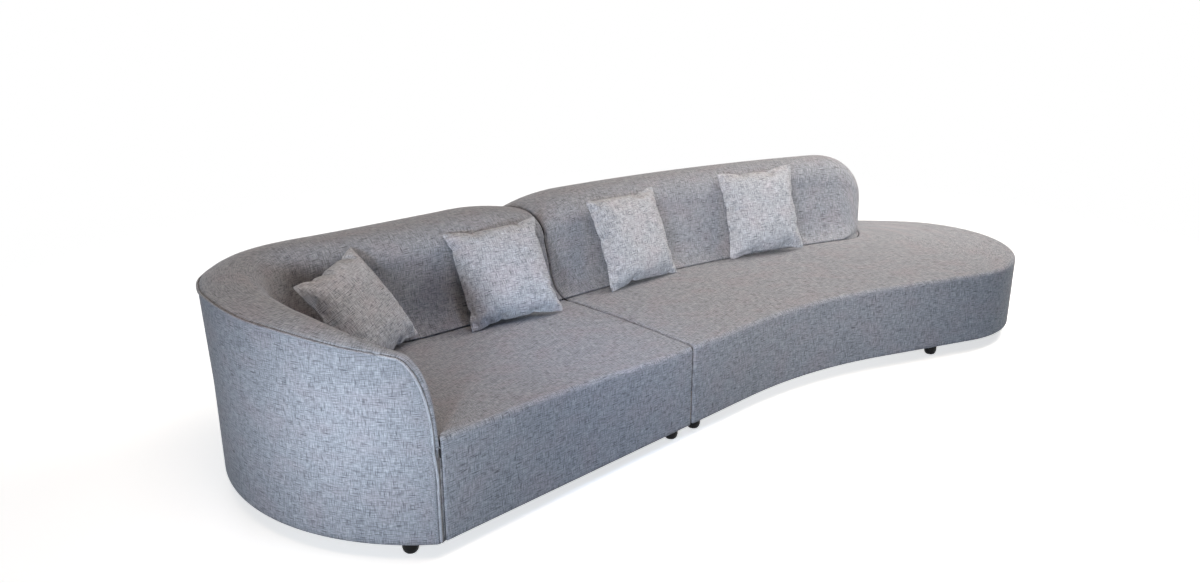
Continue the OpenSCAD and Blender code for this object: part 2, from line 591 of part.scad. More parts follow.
// Joint plates: a slotted catch plate on the arm module's side rail and a plate with a tongue on
// the chaise's, at two places along the joint
tongue_y_shares = [0.2, 0.8];
tongue_z = base_z + rail_h / 2;
slot_clear = 0.3;
plate_h = 70;
plate_screw_d = 5;
module tongue_places() {
    for (k = tongue_y_shares) translate([joint_face[ARM], joint_y + k * joint_back[1], tongue_z])
        children();
}
module slot_block(l) {
    translate([-side_slip, -tongue_w / 2 - slot_clear, -tongue_t / 2 - slot_clear])
        cube([l, tongue_w + 2 * slot_clear, tongue_t + 2 * slot_clear]);
}
module plate_blank() {
    difference() {
        translate([0, -tongue_w, -plate_h / 2]) cube([plate_t, 2 * tongue_w, plate_h]);
        for (y = [-1, 1], z = [-1, 1])
            translate([-overrun, y * tongue_w * 0.8, z * plate_h * 0.38]) rotate([0, 90, 0])
                cylinder(d = plate_screw_d, h = plate_t + 2 * overrun);
    }
}
module catch_plates() {
    color(steel_colour) tongue_places() difference() {
        translate([-side_slip + slip, 0, 0]) plate_blank();
        slot_block(side_slip + 2 * overrun);
    }
}
module tongue_plates() {
    color(steel_colour) tongue_places() {
        translate([joint_gap + side_slip - slip - plate_t, 0, 0]) plate_blank();
        translate([joint_gap + side_slip - slip - plate_t - tongue_l, -tongue_w / 2, -tongue_t / 2])
            cube([tongue_l, tongue_w, tongue_t]);
    }
}

// Scatter cushions. A unit square of points is drawn in along its sides and crowned in the middle.
cover_steps = 10;
filling_steps = 5;
corner_power = 3;
crown_power = 0.5;
rear_crown_share = 0.36;
function unit_step(i, n) = sin(90 * (2 * i / n - 1));
function drawn(u, v, half, draw) = u * (half - draw * (1 - pow(abs(v), 2)) * pow(abs(u), corner_power));
function crown_at(u, v) = pow(max(0, (1 - pow(u, 2)) * (1 - pow(v, 2))), crown_power);
function cushion_face(half, draw, t, edge, n, side) = [for (i = [0:n]) let (u = unit_step(i, n))
    [for (j = [0:n]) let (v = unit_step(j, n))
        [drawn(u, v, half, draw), side * (edge / 2 + (t - edge) * crown_at(u, v)
            * (side > 0 ? rear_crown_share : 1 - rear_crown_share)), drawn(v, u, half, draw)]]];
module cushion_solid(half, draw, t, edge, n) {
    thick_sheet(cushion_face(half, draw, t, edge, n, 1), cushion_face(half, draw, t, edge, n, -1));
}
filling_half = cushion_w / 2 - cushion_draw - cover_t;
// A cushion stands at a station on a wall. Its middle lies some way along the wall, in front of
// the seat line and above the seat, as shares of its width. Last come its turn from the wall, its
// lean and its roll.
CORNER_AT = 0;
ARM_AT = 1;
MIDDLE_AT = 2;
END_AT = 3;
station_shares = [0, 0.67233, 1.155, 1.75405];
cushion_stations = [[ARM, tub_mid], [ARM, arm_wall_l - station_shares[ARM_AT] * cushion_w],
    [CHAISE, station_shares[MIDDLE_AT] * cushion_w],
    [CHAISE, chaise_back_l - station_shares[END_AT] * cushion_w]];
middle_shares = [[0.11209, 0.48939, 0.45929], [0, 0.00226, 0.45143], [0, -0.04417, 0.46405],
    [0, -0.05514, 0.48738]];
cushion_turns = [[0, -36.7, -3.9], [-9.7, -32.4, -2.3], [8.715, -25.4, 0.5], [-1.525, -20.3, -1.7]];
module cushion_cover(place) {
    color(cushion_colour) at_place(place) difference() {
        cushion_solid(cushion_w / 2, cushion_draw, cushion_t, seam_t, cover_steps);
        cushion_solid(filling_half, 0, cushion_t - 2 * cover_t - pad_t, seam_t, filling_steps);
    }
}
module cushion_filling(place) {
    color(filling_colour) at_place(place)
        cushion_solid(filling_half - soft_slip, 0, cushion_t - 2 * cover_t - pad_t - 2 * soft_slip, seam_t
            - 2 * soft_slip, filling_steps);
}
module at_place(place) {
    m = cushion_stations[place][0];
    st = cushion_stations[place][1];
    w = wall(m, st);
    k = middle_shares[place] * cushion_w;
    c = inside(w, thickness(m, st) + k[1]);
    translate([c[0] + k[0] * cos(w[2]), c[1] + k[0] * sin(w[2]), seat_z + k[2]])
        rotate([0, 0, w[2] + cushion_turns[place][0]]) rotate([cushion_turns[place][1], 0, 0])
            rotate([0, cushion_turns[place][2], 0]) children();
}

module arm_base_rails() { color(timber_colour) base_rails(ARM); }
module arm_bearers() { color(timber_colour) bearers(ARM); }
module arm_seat_rail() { color(plywood_colour) seat_rail(ARM); }
module arm_foot_blocks() { color(plywood_colour) foot_blocks(ARM); }
module arm_webbing() { color(webbing_colour) webbing(ARM); }
module arm_seat_pad() { color(fabric_colour) seat_pad(ARM); }
module arm_back_ribs() { color(plywood_colour) back_ribs(ARM); }
module arm_top_rail() { color(plywood_colour) top_rail(ARM); }
module arm_back_pad() { color(fabric_colour) back_pad(ARM); }
module arm_outer_panel() { color(fabric_colour) outer_panel(ARM); }
module arm_dust_cloth() { color(cloth_colour) dust_cloth(ARM); }
module arm_feet() { color(foot_colour) feet(ARM); }
module arm_foot_studs() { color(steel_colour) foot_studs(ARM); }
module arm_tee_nuts() { color(steel_colour) tee_nuts(ARM); }
module chaise_base_rails() { color(timber_colour) base_rails(CHAISE); }
module chaise_bearers() { color(timber_colour) bearers(CHAISE); }
module chaise_seat_rail() { color(plywood_colour) seat_rail(CHAISE); }
module chaise_foot_blocks() { color(plywood_colour) foot_blocks(CHAISE); }
module chaise_webbing() { color(webbing_colour) webbing(CHAISE); }
module chaise_seat_pad() { color(fabric_colour) seat_pad(CHAISE); }
module chaise_back_ribs() { color(plywood_colour) back_ribs(CHAISE); }
module chaise_top_rail() { color(plywood_colour) top_rail(CHAISE); }
module chaise_back_pad() { color(fabric_colour) back_pad(CHAISE); }
module chaise_outer_panel() { color(fabric_colour) outer_panel(CHAISE); }
module chaise_dust_cloth() { color(cloth_colour) dust_cloth(CHAISE); }
module chaise_feet() { color(foot_colour) feet(CHAISE); }
module chaise_foot_studs() { color(steel_colour) foot_studs(CHAISE); }
module chaise_tee_nuts() { color(steel_colour) tee_nuts(CHAISE); }

arm_base_rails();
arm_bearers();
arm_seat_rail();
arm_foot_blocks();
arm_webbing();
arm_seat_pad();
arm_back_ribs();
arm_top_rail();
arm_back_pad();
arm_outer_panel();
arm_dust_cloth();
arm_feet();
arm_foot_studs();
arm_tee_nuts();
catch_plates();
chaise_base_rails();
chaise_bearers();
chaise_seat_rail();
chaise_foot_blocks();
chaise_webbing();
chaise_seat_pad();
chaise_back_ribs();
chaise_top_rail();
chaise_back_pad();
chaise_outer_panel();
chaise_dust_cloth();
chaise_feet();
chaise_foot_studs();
chaise_tee_nuts();
tongue_plates();
cushion_cover(CORNER_AT);  // corner_cushion_cover
cushion_filling(CORNER_AT);  // corner_cushion_filling
cushion_cover(ARM_AT);  // arm_cushion_cover
cushion_filling(ARM_AT);  // arm_cushion_filling
cushion_cover(MIDDLE_AT);  // middle_cushion_cover
cushion_filling(MIDDLE_AT);  // middle_cushion_filling
cushion_cover(END_AT);  // end_cushion_cover
cushion_filling(END_AT);  // end_cushion_filling
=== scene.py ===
# %% [markdown]
# # A curved sectional sofa
# The real sofa is two upholstered modules that meet at a flat joint, with four loose scatter
# cushions. Everything that shows is one heathered linen weave. Its backs are a rolled section
# carried along a chain of arcs, so the shapes here are worked out as whole grids of points: one
# direction runs along the wall, the other across the upholstery. The frame inside, the feet and
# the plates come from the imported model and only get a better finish.

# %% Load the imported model
import math

import bmesh
import bpy
import numpy as np
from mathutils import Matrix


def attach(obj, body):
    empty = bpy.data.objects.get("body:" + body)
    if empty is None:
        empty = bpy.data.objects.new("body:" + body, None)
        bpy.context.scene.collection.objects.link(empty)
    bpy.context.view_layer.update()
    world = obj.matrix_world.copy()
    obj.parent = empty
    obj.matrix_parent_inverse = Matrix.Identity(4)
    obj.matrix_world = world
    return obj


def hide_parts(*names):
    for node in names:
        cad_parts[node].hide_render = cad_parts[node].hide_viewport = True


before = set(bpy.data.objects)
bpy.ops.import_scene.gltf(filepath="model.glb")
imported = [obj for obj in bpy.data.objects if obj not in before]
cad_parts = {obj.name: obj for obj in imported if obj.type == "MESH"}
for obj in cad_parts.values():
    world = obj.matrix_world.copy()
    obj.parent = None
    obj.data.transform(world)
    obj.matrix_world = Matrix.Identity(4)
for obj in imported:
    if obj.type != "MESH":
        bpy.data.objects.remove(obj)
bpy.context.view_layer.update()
print("nodes in the frame:", len(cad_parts))

# %% [markdown]
# ## The camera
# The photograph was taken standing, a few steps in front of the arm. A camera can be lined up by
# eye, but its height, tilt and lens work against one another. They were found from edges of the
# sofa whose heights are known, and are written here as plain numbers.

# %% Camera
PHOTO_W = 1200
FOCAL_PIXELS = 1050
SENSOR = 36.0
CAMERA_AT, LOOKS_DOWN, TURNS_RIGHT = (-3.24604, -2.91223, 1.965), 19.592, 44.003
camera_data = bpy.data.cameras.new("photo_camera")
camera_data.sensor_width = SENSOR
camera_data.sensor_fit = "HORIZONTAL"
camera_data.lens = FOCAL_PIXELS / PHOTO_W * SENSOR
camera = bpy.data.objects.new("photo_camera", camera_data)
camera.location = CAMERA_AT
camera.rotation_euler = (math.radians(90 - LOOKS_DOWN), 0, math.radians(-TURNS_RIGHT))
bpy.context.scene.collection.objects.link(camera)
bpy.context.scene.camera = camera
print("lens", round(camera_data.lens, 2), "mm")

# %% [markdown]
# ## The plan
# Both outer walls are chains of arcs that touch without a corner, as an upholsterer's plywood
# template is drawn. A curve object would look the same, but here each point has to be found by its
# distance along the cloth. So a point is reached by walking along its chain: a run of some length
# that turns right by some angle. Sizes are in metres and angles in degrees.

# %% Runs and arcs
def arc(radius, turn):
    """Length and turn of an arc: the length is radius times the turn in radians."""
    return (radius * math.radians(turn), turn)


def walk(x, y, heading, run, turn):
    """End of a run that turns right by turn: straight on where it doesn't turn, else round the
    circle of radius run over turn."""
    first, last = np.radians(heading), np.radians(heading - turn)
    bends = np.abs(turn) > 1e-6
    radius = run / np.where(bends, np.radians(turn), 1)
    return (x + np.where(bends, radius * (np.sin(first) - np.sin(last)), run * np.cos(first)),
            y + np.where(bends, radius * (np.cos(last) - np.cos(first)), run * np.sin(first)),
            heading - turn)


def along(start, legs, s):
    """x, y and heading at the distances s along a chain of legs from a starting pose."""
    s = np.asarray(s, float)
    x, y, h = np.zeros_like(s), np.zeros_like(s), np.zeros_like(s)
    pose, done = start, 0.0
    for k, (length, turn) in enumerate(legs):
        here = (s >= done) | (k == 0)
        d = s - done
        wx, wy, wh = walk(*pose, d, turn * d / length)
        x, y, h = np.where(here, wx, x), np.where(here, wy, y), np.where(here, wh, h)
        pose = tuple(float(v) for v in walk(*pose, length, turn))
        done += length
    return x, y, h


print("a quarter round of 1 m radius is", round(arc(1.0, 90)[0], 3), "m long")

# %% [markdown]
# Three small curves shape nearly everything after this: an S step, a mix of two values, and a
# quarter round. Upholstery has no sharp corners, so they stand where a drawing would have a kink.

# %% Small curves
def ease(x):
    """0 below 0, 1 above 1 and a smooth S between: 3x squared less 2x cubed."""
    x = np.clip(x, 0, 1)
    return x * x * (3 - 2 * x)


def mix(a, b, k):
    """The value a share k of the way from a to b."""
    return a + (b - a) * k


def rounding(x, run, height):
    """Drop of a quarter round of that run and height at a distance x from its end."""
    return height * (1 - np.sqrt(np.maximum(0, 1 - np.clip(1 - x / run, 0, 1) ** 2)))


print("half way up the step:", ease(0.5), "and half way into a 10 mm round:",
      round(1000 * float(rounding(0.005, 0.010, 0.010)), 2), "mm")

# %% [markdown]
# The arm's wall starts at its thin front, turns round the tub and runs straight to the joint. The
# chaise's wall goes on from there along the back, round the open nose and back through the hollow
# of the seat's front. The nose's straight run is solved so that the hollow ends at the joint again.

# %% Walls of this sofa
JOINT_X, JOINT_Y, HALF_GAP = -0.359637, -0.45343, 0.004
SEAT_FRONT, LEAD = 1.232, 142.5
arm_arcs = [arc(0.830, 83), arc(0.405, 64)]
arm_start = (-SEAT_FRONT, 0.0, LEAD)
tub_mid = arm_arcs[0][0] + arm_arcs[1][0] / 2
tub_end = [float(v) for v in along(arm_start, arm_arcs, arm_arcs[0][0] + arm_arcs[1][0])]
arm_legs = arm_arcs + [(-tub_end[0] / math.cos(math.radians(tub_end[2])), 0.0)]
arm_wall = sum(leg[0] for leg in arm_legs)
joint_back = tuple(float(v) for v in along(arm_start, arm_legs, arm_wall))
chaise_arcs = [arc(5.040, 21.5), arc(1.040, 27.5), arc(0.479, 148.3)]
nose = [float(v) for v in along(joint_back, chaise_arcs, sum(leg[0] for leg in chaise_arcs))]
HOLLOW_R = 2.090
hollow_turn = -180 - nose[2]
nose_angle = math.radians(nose[2])
nose_run = -(nose[1] + HOLLOW_R * (1 + math.cos(nose_angle))) / math.sin(nose_angle)
hollow_leg = (HOLLOW_R * math.radians(hollow_turn), -hollow_turn)
to_hollow = chaise_arcs + [(nose_run, 0.0), hollow_leg]
hollow_end = along(joint_back, to_hollow, sum(leg[0] for leg in to_hollow))
chaise_legs = to_hollow + [(float(hollow_end[0]), 0.0)]
chaise_wall = sum(leg[0] for leg in chaise_legs)


def wall(module, s):
    """x, y and heading of a module's outer wall in the sofa's frame."""
    start, legs = (arm_start, arm_legs) if module == "arm" else (joint_back, chaise_legs)
    x, y, h = along(start, legs, s)
    return x + JOINT_X, y + JOINT_Y, h


print("arm wall", round(arm_wall, 3), "m; chaise wall", round(chaise_wall, 3), "m")

# %% [markdown]
# ## The section of the backs
# A back is one rolled section: a flat outer panel up to a seam, a quarter round from the seam to
# the crest, a long round down to the face, and a face that leans and tucks in behind the seat. One
# profile could be swept along a path, but its thickness and heights change on the way. So each is a
# small function of the distance along the wall, and all sections are computed at once.

# %% Levels and thicknesses
SKIRT_Z, DECK_Z, SEAT_Z, SEAT_CROWN = 0.060, 0.1983, 0.395, 0.009
CREST_Z, SEAM_DROP, ARM_SEAM_Z = 0.797, 0.037, 0.705
BACK_SEAM_Z = CREST_Z - SEAM_DROP
BACK_T, TUB_T, TIP_T, ROUND_T = 0.445, 0.320, 0.016, 0.330
BACK_LENGTH = 2.054
ROUND_R = ROUND_T / 2
PANEL_T = 0.012
arm_end_s = arm_wall - HALF_GAP / math.cos(math.radians(joint_back[2]))
chaise_start_s = HALF_GAP / math.cos(math.radians(joint_back[2]))
panel_out = BACK_LENGTH - ROUND_R
BASE_TOP = 0.195
print("seat at", SEAT_Z, "m, crest at", CREST_Z, "m, back from", TIP_T, "to", BACK_T, "m thick")

# %% [markdown]
# The arm is thin at its front and swells like a sine wave to the tub's thickness. Its wall leans out
# a little round its middle. The chaise's back gets thinner on its way to the round end, whose plan
# is a half circle.

# %% Thickness and lean
ARM_SWELL, CORNER_RUN = 0.8, 0.650
LEAN, LEAN_END, TIP_TURN = 0.012, 1.9, 0.150


def lean(module, s, z):
    """Outward lean of the arm's wall: most round its middle, growing with height over the seat."""
    if module == "chaise":
        return np.zeros(np.broadcast(s, z).shape)
    return (LEAN * ease(s / TIP_TURN) * (1 - ease((s - tub_mid) / (LEAN_END - tub_mid)))
            * np.maximum(0, (z - SEAT_Z) / (BACK_SEAM_Z - SEAT_Z)))


def thickness(module, s):
    """Thickness of a back: a sine swell up the arm, wider after the corner, and on the chaise a
    straight taper."""
    if module == "arm":
        swell = np.sin(np.radians(90 * np.minimum(1, s / ARM_SWELL)))
        return TIP_T + (TUB_T - TIP_T) * swell + (BACK_T - TUB_T) * ease((s - tub_mid) / CORNER_RUN)
    return mix(BACK_T, ROUND_T, np.minimum(1, s / panel_out))


def end_gap(module, s):
    """Distance to the chaise's round end. The arm's back has none."""
    return np.full_like(s, 1.0) if module == "arm" else BACK_LENGTH - s


def width_share(module, s):
    """Share of its width that the back keeps near its round end: a half circle in plan."""
    e = end_gap(module, s)
    return np.where(e >= ROUND_R, 1, np.sqrt(np.clip(1 - (1 - e / ROUND_R) ** 2, 0, 1)))


print("arm's thickness at 0.2, 0.5 and 0.8 m:", np.round(thickness("arm", np.array([0.2, 0.5, 0.8])), 3))

# %% [markdown]
# The seam isn't level. It climbs steeply at the arm's front, rises to the back, and drops by a
# shoulder on both sides of the joint. The crest stands a little over it.

# %% Heights of seam and crest
SHOULDER_RUN, SHOULDER_DROP = 0.290, 0.048
CREST_SETTLE = 0.011
ARM_RISE_RUN = 0.550
TIP_ROUND, END_ROUND = (0.100, 0.300), (0.270, 0.240)


def joint_shoulder(module, s):
    """Drop of the crest towards the joint: a parabola over the shoulder's run."""
    x = arm_wall - s if module == "arm" else s
    return SHOULDER_DROP * np.maximum(0, 1 - x / SHOULDER_RUN) ** 2


def seam_shift(s):
    """How far the arm's seam, as sewn, is off the even line: a sum of smooth steps that lifts it by
    14 mm up the arm and 20 mm round the tub, and lowers it by 18 mm behind the tub and 6 mm after."""
    steps = [(0.014, 0.02, 0.15), (0.006, 0.55, 0.25), (-0.020, 0.85, 0.25),
             (-0.018, 1.1, 0.2), (0.012, 1.5, 0.25), (0.006, 2.35, 0.3)]
    return sum(height * ease((s - start) / run) for height, start, run in steps)


def crest_height(module, s):
    """Height of the crest. The arm's follows the seam up its front. From a smooth step on it has
    settled by a centimetre, and it comes back by the square of the share of the shoulder's run, so
    that it keeps rising to the joint. The chaise's drops by a quarter round at the round end."""
    if module == "arm":
        low = ease((s - 0.15) / 0.5) - np.maximum(0, 1 - (arm_wall - s) / SHOULDER_RUN) ** 2
        even = seam_height(module, s) - seam_shift(s) * ease((s - 0.15) / 0.45)
        return even + (SEAM_DROP - CREST_SETTLE * low) * np.minimum(1, thickness(module, s) / TUB_T)
    return CREST_Z - joint_shoulder(module, s) - rounding(end_gap(module, s), *END_ROUND)


def seam_height(module, s):
    """Height of the seam between the outer panel and the roll."""
    if module == "arm":
        return (mix(ARM_SEAM_Z, BACK_SEAM_Z, ease(s / ARM_RISE_RUN)) - rounding(s, *TIP_ROUND)
                - joint_shoulder(module, s) + seam_shift(s))
    return crest_height(module, s) - SEAM_DROP * width_share(module, s)


print("arm's crest at 0.5, 1.5 and 2.5 m:", np.round(crest_height("arm", np.array([0.5, 1.5, 2.5])), 3))

# %% [markdown]
# A section stands upright on the wall and runs in towards the seat. At the arm's front and at the
# joint it turns into their flat planes, so that both ends come out flat.

# %% Points of a section
JOINT_TURN = 0.25


def depth(module, s, share):
    """Distance in from the wall for a share of the thickness, closing up at the round end."""
    return thickness(module, s) * (0.5 + (share - 0.5) * width_share(module, s))


def section_way(module, s):
    """Plan direction in which a section runs in from the wall. It turns into the plane of the
    seat front at the arm's tip and into the plane of the joint at the joint."""
    h = np.radians(wall(module, s)[2])
    wx, wy = np.sin(h), -np.cos(h)
    if module == "arm":
        k = ease(s / TIP_TURN)
        wx, wy = mix(1 / math.sin(math.radians(LEAD)), wx, k), mix(0.0, wy, k)
    to_joint = arm_end_s - s if module == "arm" else s - chaise_start_s
    return wx * np.clip(to_joint / JOINT_TURN, 0, 1), wy


def back_xyz(module, s, d, z):
    """Points in space of a back's section: the wall point plus the depth along the section's way."""
    x, y, _ = wall(module, s)
    wx, wy = section_way(module, s)
    inward = d - lean(module, s, z)
    return np.stack([x + inward * wx, y + inward * wy, np.broadcast_to(z, inward.shape)], -1)


print("arm's front corner at the seat:", np.round(back_xyz("arm", np.zeros(1), np.zeros(1), SEAT_Z)[0], 3))

# %% [markdown]
# ## From grids to meshes
# Each upholstered piece is a closed shell between two grids of points with the same rows and
# columns: the outside of the cloth and the inside of the padding. The weave has to follow the
# cloth, so every vertex also gets its place on the cloth in metres, measured along the rows and
# across them, and that becomes the UV map. Solidify and Unwrap would do both, but less exactly.

# %% Quads of a grid
def grid_quads(rows, columns, first=0, flip=False):
    """Corner numbers of the quads of a grid of vertices, row after row."""
    i, j = np.meshgrid(np.arange(rows - 1), np.arange(columns - 1), indexing="ij")
    a = (first + i * columns + j).ravel()
    quad = np.stack([a, a + columns, a + columns + 1, a + 1], 1)
    return quad[:, ::-1] if flip else quad


def shell_quads(rows, columns):
    """Quads of a closed shell between two grids that match: both grids and a rim round them."""
    top = grid_quads(rows, columns)
    under = grid_quads(rows, columns, rows * columns, flip=True)
    index = np.arange(rows * columns).reshape(rows, columns)
    rim = np.concatenate([index[:-1, 0], index[-1, :-1], index[:0:-1, -1], index[0, :0:-1]])
    rim = np.stack([rim, np.roll(rim, -1)], 1)
    side = np.stack([rim[:, 1], rim[:, 0], rim[:, 0] + rows * columns, rim[:, 1] + rows * columns], 1)
    return np.concatenate([top, under, side])


print("a shell on 3 by 4 points has", len(shell_quads(3, 4)), "quads")

# %% [markdown]
# A place on the cloth is a length along the thread. Where a piece of cloth is cut straight and only
# bends one way, as on the panels and backs, the threads across it stay parallel.

# %% Places on the cloth
def cloth_lengths(points, straight=False):
    """Distance along the rows and across them for each point of a grid, in metres. With straight,
    all points of a row share the mean run, so that the threads across stay straight."""
    across = np.linalg.norm(np.diff(points, axis=1), axis=2)
    run = np.linalg.norm(np.diff(points, axis=0), axis=2)
    v = np.concatenate([np.zeros((len(points), 1)), np.cumsum(across, 1)], 1)
    if straight:
        run = np.broadcast_to(run.mean(1, keepdims=True), run.shape)
    u = np.concatenate([np.zeros((1, points.shape[1])), np.cumsum(run, 0)], 0)
    return np.stack([u, v], -1)


flat_grid = np.stack([*np.meshgrid(np.arange(3.0), np.arange(3.0), indexing="ij"), np.zeros((3, 3))], -1)
print("far corner of a flat 2 m square on the cloth:", cloth_lengths(flat_grid)[-1, -1])

# %% [markdown]
# Every piece is made by the same few lines: arrays of points and quads go into a mesh, with the
# places on the cloth as its UV map. Doubled points are merged and all faces are turned outwards.

# %% Meshes from arrays
def mesh_from(name, vertices, quads, uv, material):
    """A smooth mesh object from its vertices, faces and places on the cloth."""
    mesh = bpy.data.meshes.new(name)
    mesh.from_pydata(vertices.reshape(-1, 3).tolist(), [], [list(quad) for quad in quads])
    layer = mesh.uv_layers.new(name="cloth")
    corners = np.empty(len(mesh.loops), np.int32)
    mesh.loops.foreach_get("vertex_index", corners)
    layer.data.foreach_set("uv", uv.reshape(-1, 2)[corners].astype(np.float32).ravel())
    mesh.polygons.foreach_set("use_smooth", np.ones(len(mesh.polygons), bool))
    mesh.materials.append(material)
    mesh.update()
    piece = bpy.data.objects.new(name, mesh)
    bpy.context.scene.collection.objects.link(piece)
    return piece


def face_outwards(piece):
    """Merges doubled points and turns every face outwards."""
    bm = bmesh.new()
    bm.from_mesh(piece.data)
    bmesh.ops.remove_doubles(bm, verts=bm.verts, dist=1e-5)
    bmesh.ops.recalc_face_normals(bm, faces=bm.faces)
    bm.to_mesh(piece.data)
    bm.free()
    return piece


def closed_piece(name, shells, material):
    """One piece from closed shells, each between two grids, with all faces turned outwards."""
    vertices, quads, places, first = [], [], [], 0
    for skin, inner, uv in shells:
        rows, columns = skin.shape[:2]
        vertices += [skin.reshape(-1, 3), inner.reshape(-1, 3)]
        places += [uv.reshape(-1, 2)] * 2
        quads.append(shell_quads(rows, columns) + first)
        first += 2 * rows * columns
    return face_outwards(mesh_from(name, np.concatenate(vertices), np.concatenate(quads),
                                   np.concatenate(places), material))


def outward(points, inside):
    """Unit normals of a grid, from the cross product of its two directions, turned away from a
    point or grid inside the piece."""
    n = np.cross(np.gradient(points, axis=0), np.gradient(points, axis=1))
    n = n / np.maximum(np.linalg.norm(n, axis=2, keepdims=True), 1e-12)
    return n if np.sum(n * (points - inside)) > 0 else -n


print("normal of a flat grid over the floor:", outward(flat_grid, [1, 1, -1])[1, 1])

# %% [markdown]
# ## Materials
# A finish is a small graph of shader nodes. It could be clicked together in the shader editor. Here
# one function adds a node with its settings and what feeds it, so a graph reads like a recipe.

# %% Colours and nodes
def colour(code):
    """An sRGB hex colour as linear red, green, blue and alpha: each share to the power 2.4, with
    the straight part near black."""
    c = np.array([int(code[i:i + 2], 16) / 255 for i in (1, 3, 5)])
    c = np.where(c <= 0.04045, c / 12.92, ((c + 0.055) / 1.055) ** 2.4)
    return (*[float(v) for v in c], 1.0)


def add(tree, kind, feeds=None, out=0, **settings):
    """Adds one node and gives back one of its outputs, or the node itself if out is None. Settings
    are its properties or the values of its inputs by name. Feeds say by name or number what goes
    into an input: the output of another node, or a plain value."""
    node = tree.nodes.new(kind)
    for key, value in settings.items():
        if hasattr(node, key):
            setattr(node, key, value)
        else:
            node.inputs[key.replace("_", " ")].default_value = value
    for key, source in (feeds or {}).items():
        if isinstance(source, bpy.types.NodeSocket):
            tree.links.new(source, node.inputs[key])
        else:
            node.inputs[key].default_value = source
    return node if out is None else node.outputs[out]


def new_material(name):
    """An empty node material."""
    material = bpy.data.materials.new(name)
    material.use_nodes = True
    material.node_tree.nodes.clear()
    return material, material.node_tree


print("the grey #808080 is", round(colour("#808080")[0], 3), "in linear light")

# %% [markdown]
# The cloth is a heathered linen: pale grey threads with dark slubs, short thick places in the
# yarn, that run both ways. A photographed texture would repeat and show seams on the bent pieces.
# Noise stretched on the cloth's own metres follows the threads round every curve. Real threads are
# under a millimetre, which this picture can't show, so the weave is drawn a little coarser.

# %% Heathered linen
# Scales are noise cells per metre: 1000 over their size in mm. A yarn keeps its tone for 25 to 30 mm
# and a slub's cell is 36 to 45 mm long. Both are drawn 2.6 mm wide, coarser than the real 1 mm.
WEFT, WARP = (40.0, 390.0, 1.0), (390.0, 34.0, 1.0)
WEFT_SLUB, WARP_SLUB = (22.0, 380.0, 1.0), (380.0, 28.0, 1.0)
CLOUD = (7.0, 9.0, 1.0)


def linen(name, dark, pale, slub, warm):
    """Plain-woven linen, yarn-dyed, matt with a little sheen at grazing angles. The ground is the
    mean of two fine noises, one drawn out along the weft and one along the warp, between a dark
    and a pale yarn. Slubs are the peaks of two more. A cloud about as wide as a hand changes the
    tone and warms it here and there."""
    material, tree = new_material(name)
    place = add(tree, "ShaderNodeUVMap", uv_map="cloth")

    def yarns(label, scale, shift, detail):
        stretched = add(tree, "ShaderNodeMapping", {"Vector": place}, Scale=scale, Location=shift)
        return add(tree, "ShaderNodeTexNoise", {"Vector": stretched}, label=label, Scale=1.0, Detail=detail)

    weft = yarns("weft ground", WEFT, (0, 0, 0), 2.0)
    warp = yarns("warp ground", WARP, (7.3, 3.1, 0), 2.0)
    weft_slub = yarns("weft slubs", WEFT_SLUB, (2.9, 5.7, 0), 1.0)
    warp_slub = yarns("warp slubs", WARP_SLUB, (4.1, 8.3, 0), 1.0)
    cloud = yarns("cloud", CLOUD, (1.7, 6.1, 0), 3.0)
    ground = add(tree, "ShaderNodeMath", {0: weft, 1: warp}, operation="ADD")
    share = add(tree, "ShaderNodeMapRange", {"Value": ground}, From_Min=0.72, From_Max=1.28)
    patch = add(tree, "ShaderNodeMapRange", {"Value": cloud}, From_Min=0.3, From_Max=0.7,
                To_Min=-0.14, To_Max=0.14)
    share = add(tree, "ShaderNodeMath", {0: share, 1: patch}, operation="ADD", use_clamp=True)
    yarn = add(tree, "ShaderNodeMix", {"Factor": share, 6: colour(dark), 7: colour(pale)}, out=2, data_type="RGBA")
    weft_mark = add(tree, "ShaderNodeMapRange", {"Value": weft_slub}, From_Min=0.55, From_Max=0.78)
    warp_mark = add(tree, "ShaderNodeMapRange", {"Value": warp_slub}, From_Min=0.56, From_Max=0.80)
    mark = add(tree, "ShaderNodeMath", {0: weft_mark, 1: warp_mark}, operation="MAXIMUM")
    marked = add(tree, "ShaderNodeMix", {"Factor": mark, 6: yarn, 7: colour(slub)}, out=2, data_type="RGBA")
    warmth = add(tree, "ShaderNodeMapRange", {"Value": cloud}, From_Min=0.45, From_Max=0.65)
    tint = add(tree, "ShaderNodeMix", {"Factor": warmth, 6: marked, 7: colour(warm)}, out=2,
               data_type="RGBA", blend_type="MULTIPLY")
    relief = add(tree, "ShaderNodeMath", {0: share, 1: mark}, operation="SUBTRACT")
    bump = add(tree, "ShaderNodeBump", {"Height": relief}, Strength=0.35, Distance=0.0006)
    rough = add(tree, "ShaderNodeMapRange", {"Value": mark}, To_Min=0.88, To_Max=0.97)
    shader = add(tree, "ShaderNodeBsdfPrincipled", {"Base Color": tint, "Normal": bump, "Roughness": rough},
                 IOR=1.45, Specular_IOR_Level=0.2, Sheen_Weight=0.12, Sheen_Roughness=0.5)
    add(tree, "ShaderNodeOutputMaterial", {"Surface": shader}, out=None)
    return material


# The body's cloth gives a mid grey with dark flecks. The cord down the arm's front is the same cloth
# drawn paler, a painted highlight for the light it catches. The cushions' cloth is the palest, and its flecks
# stand out most.
body_linen = linen("heathered_linen", "#76777D", "#B3B4BB", "#3E3F46", "#F4EEEE")
welt_painted_highlight_linen = linen("welt_painted_highlight_linen", "#8A8B91", "#CBCCD3", "#5E5F66", "#F4EEEE")
cushion_linen = linen("cushion_linen", "#8A8B91", "#D8D9DF", "#484950", "#F6F0F0")
print("cloth drawn with", len(body_linen.node_tree.nodes), "nodes")

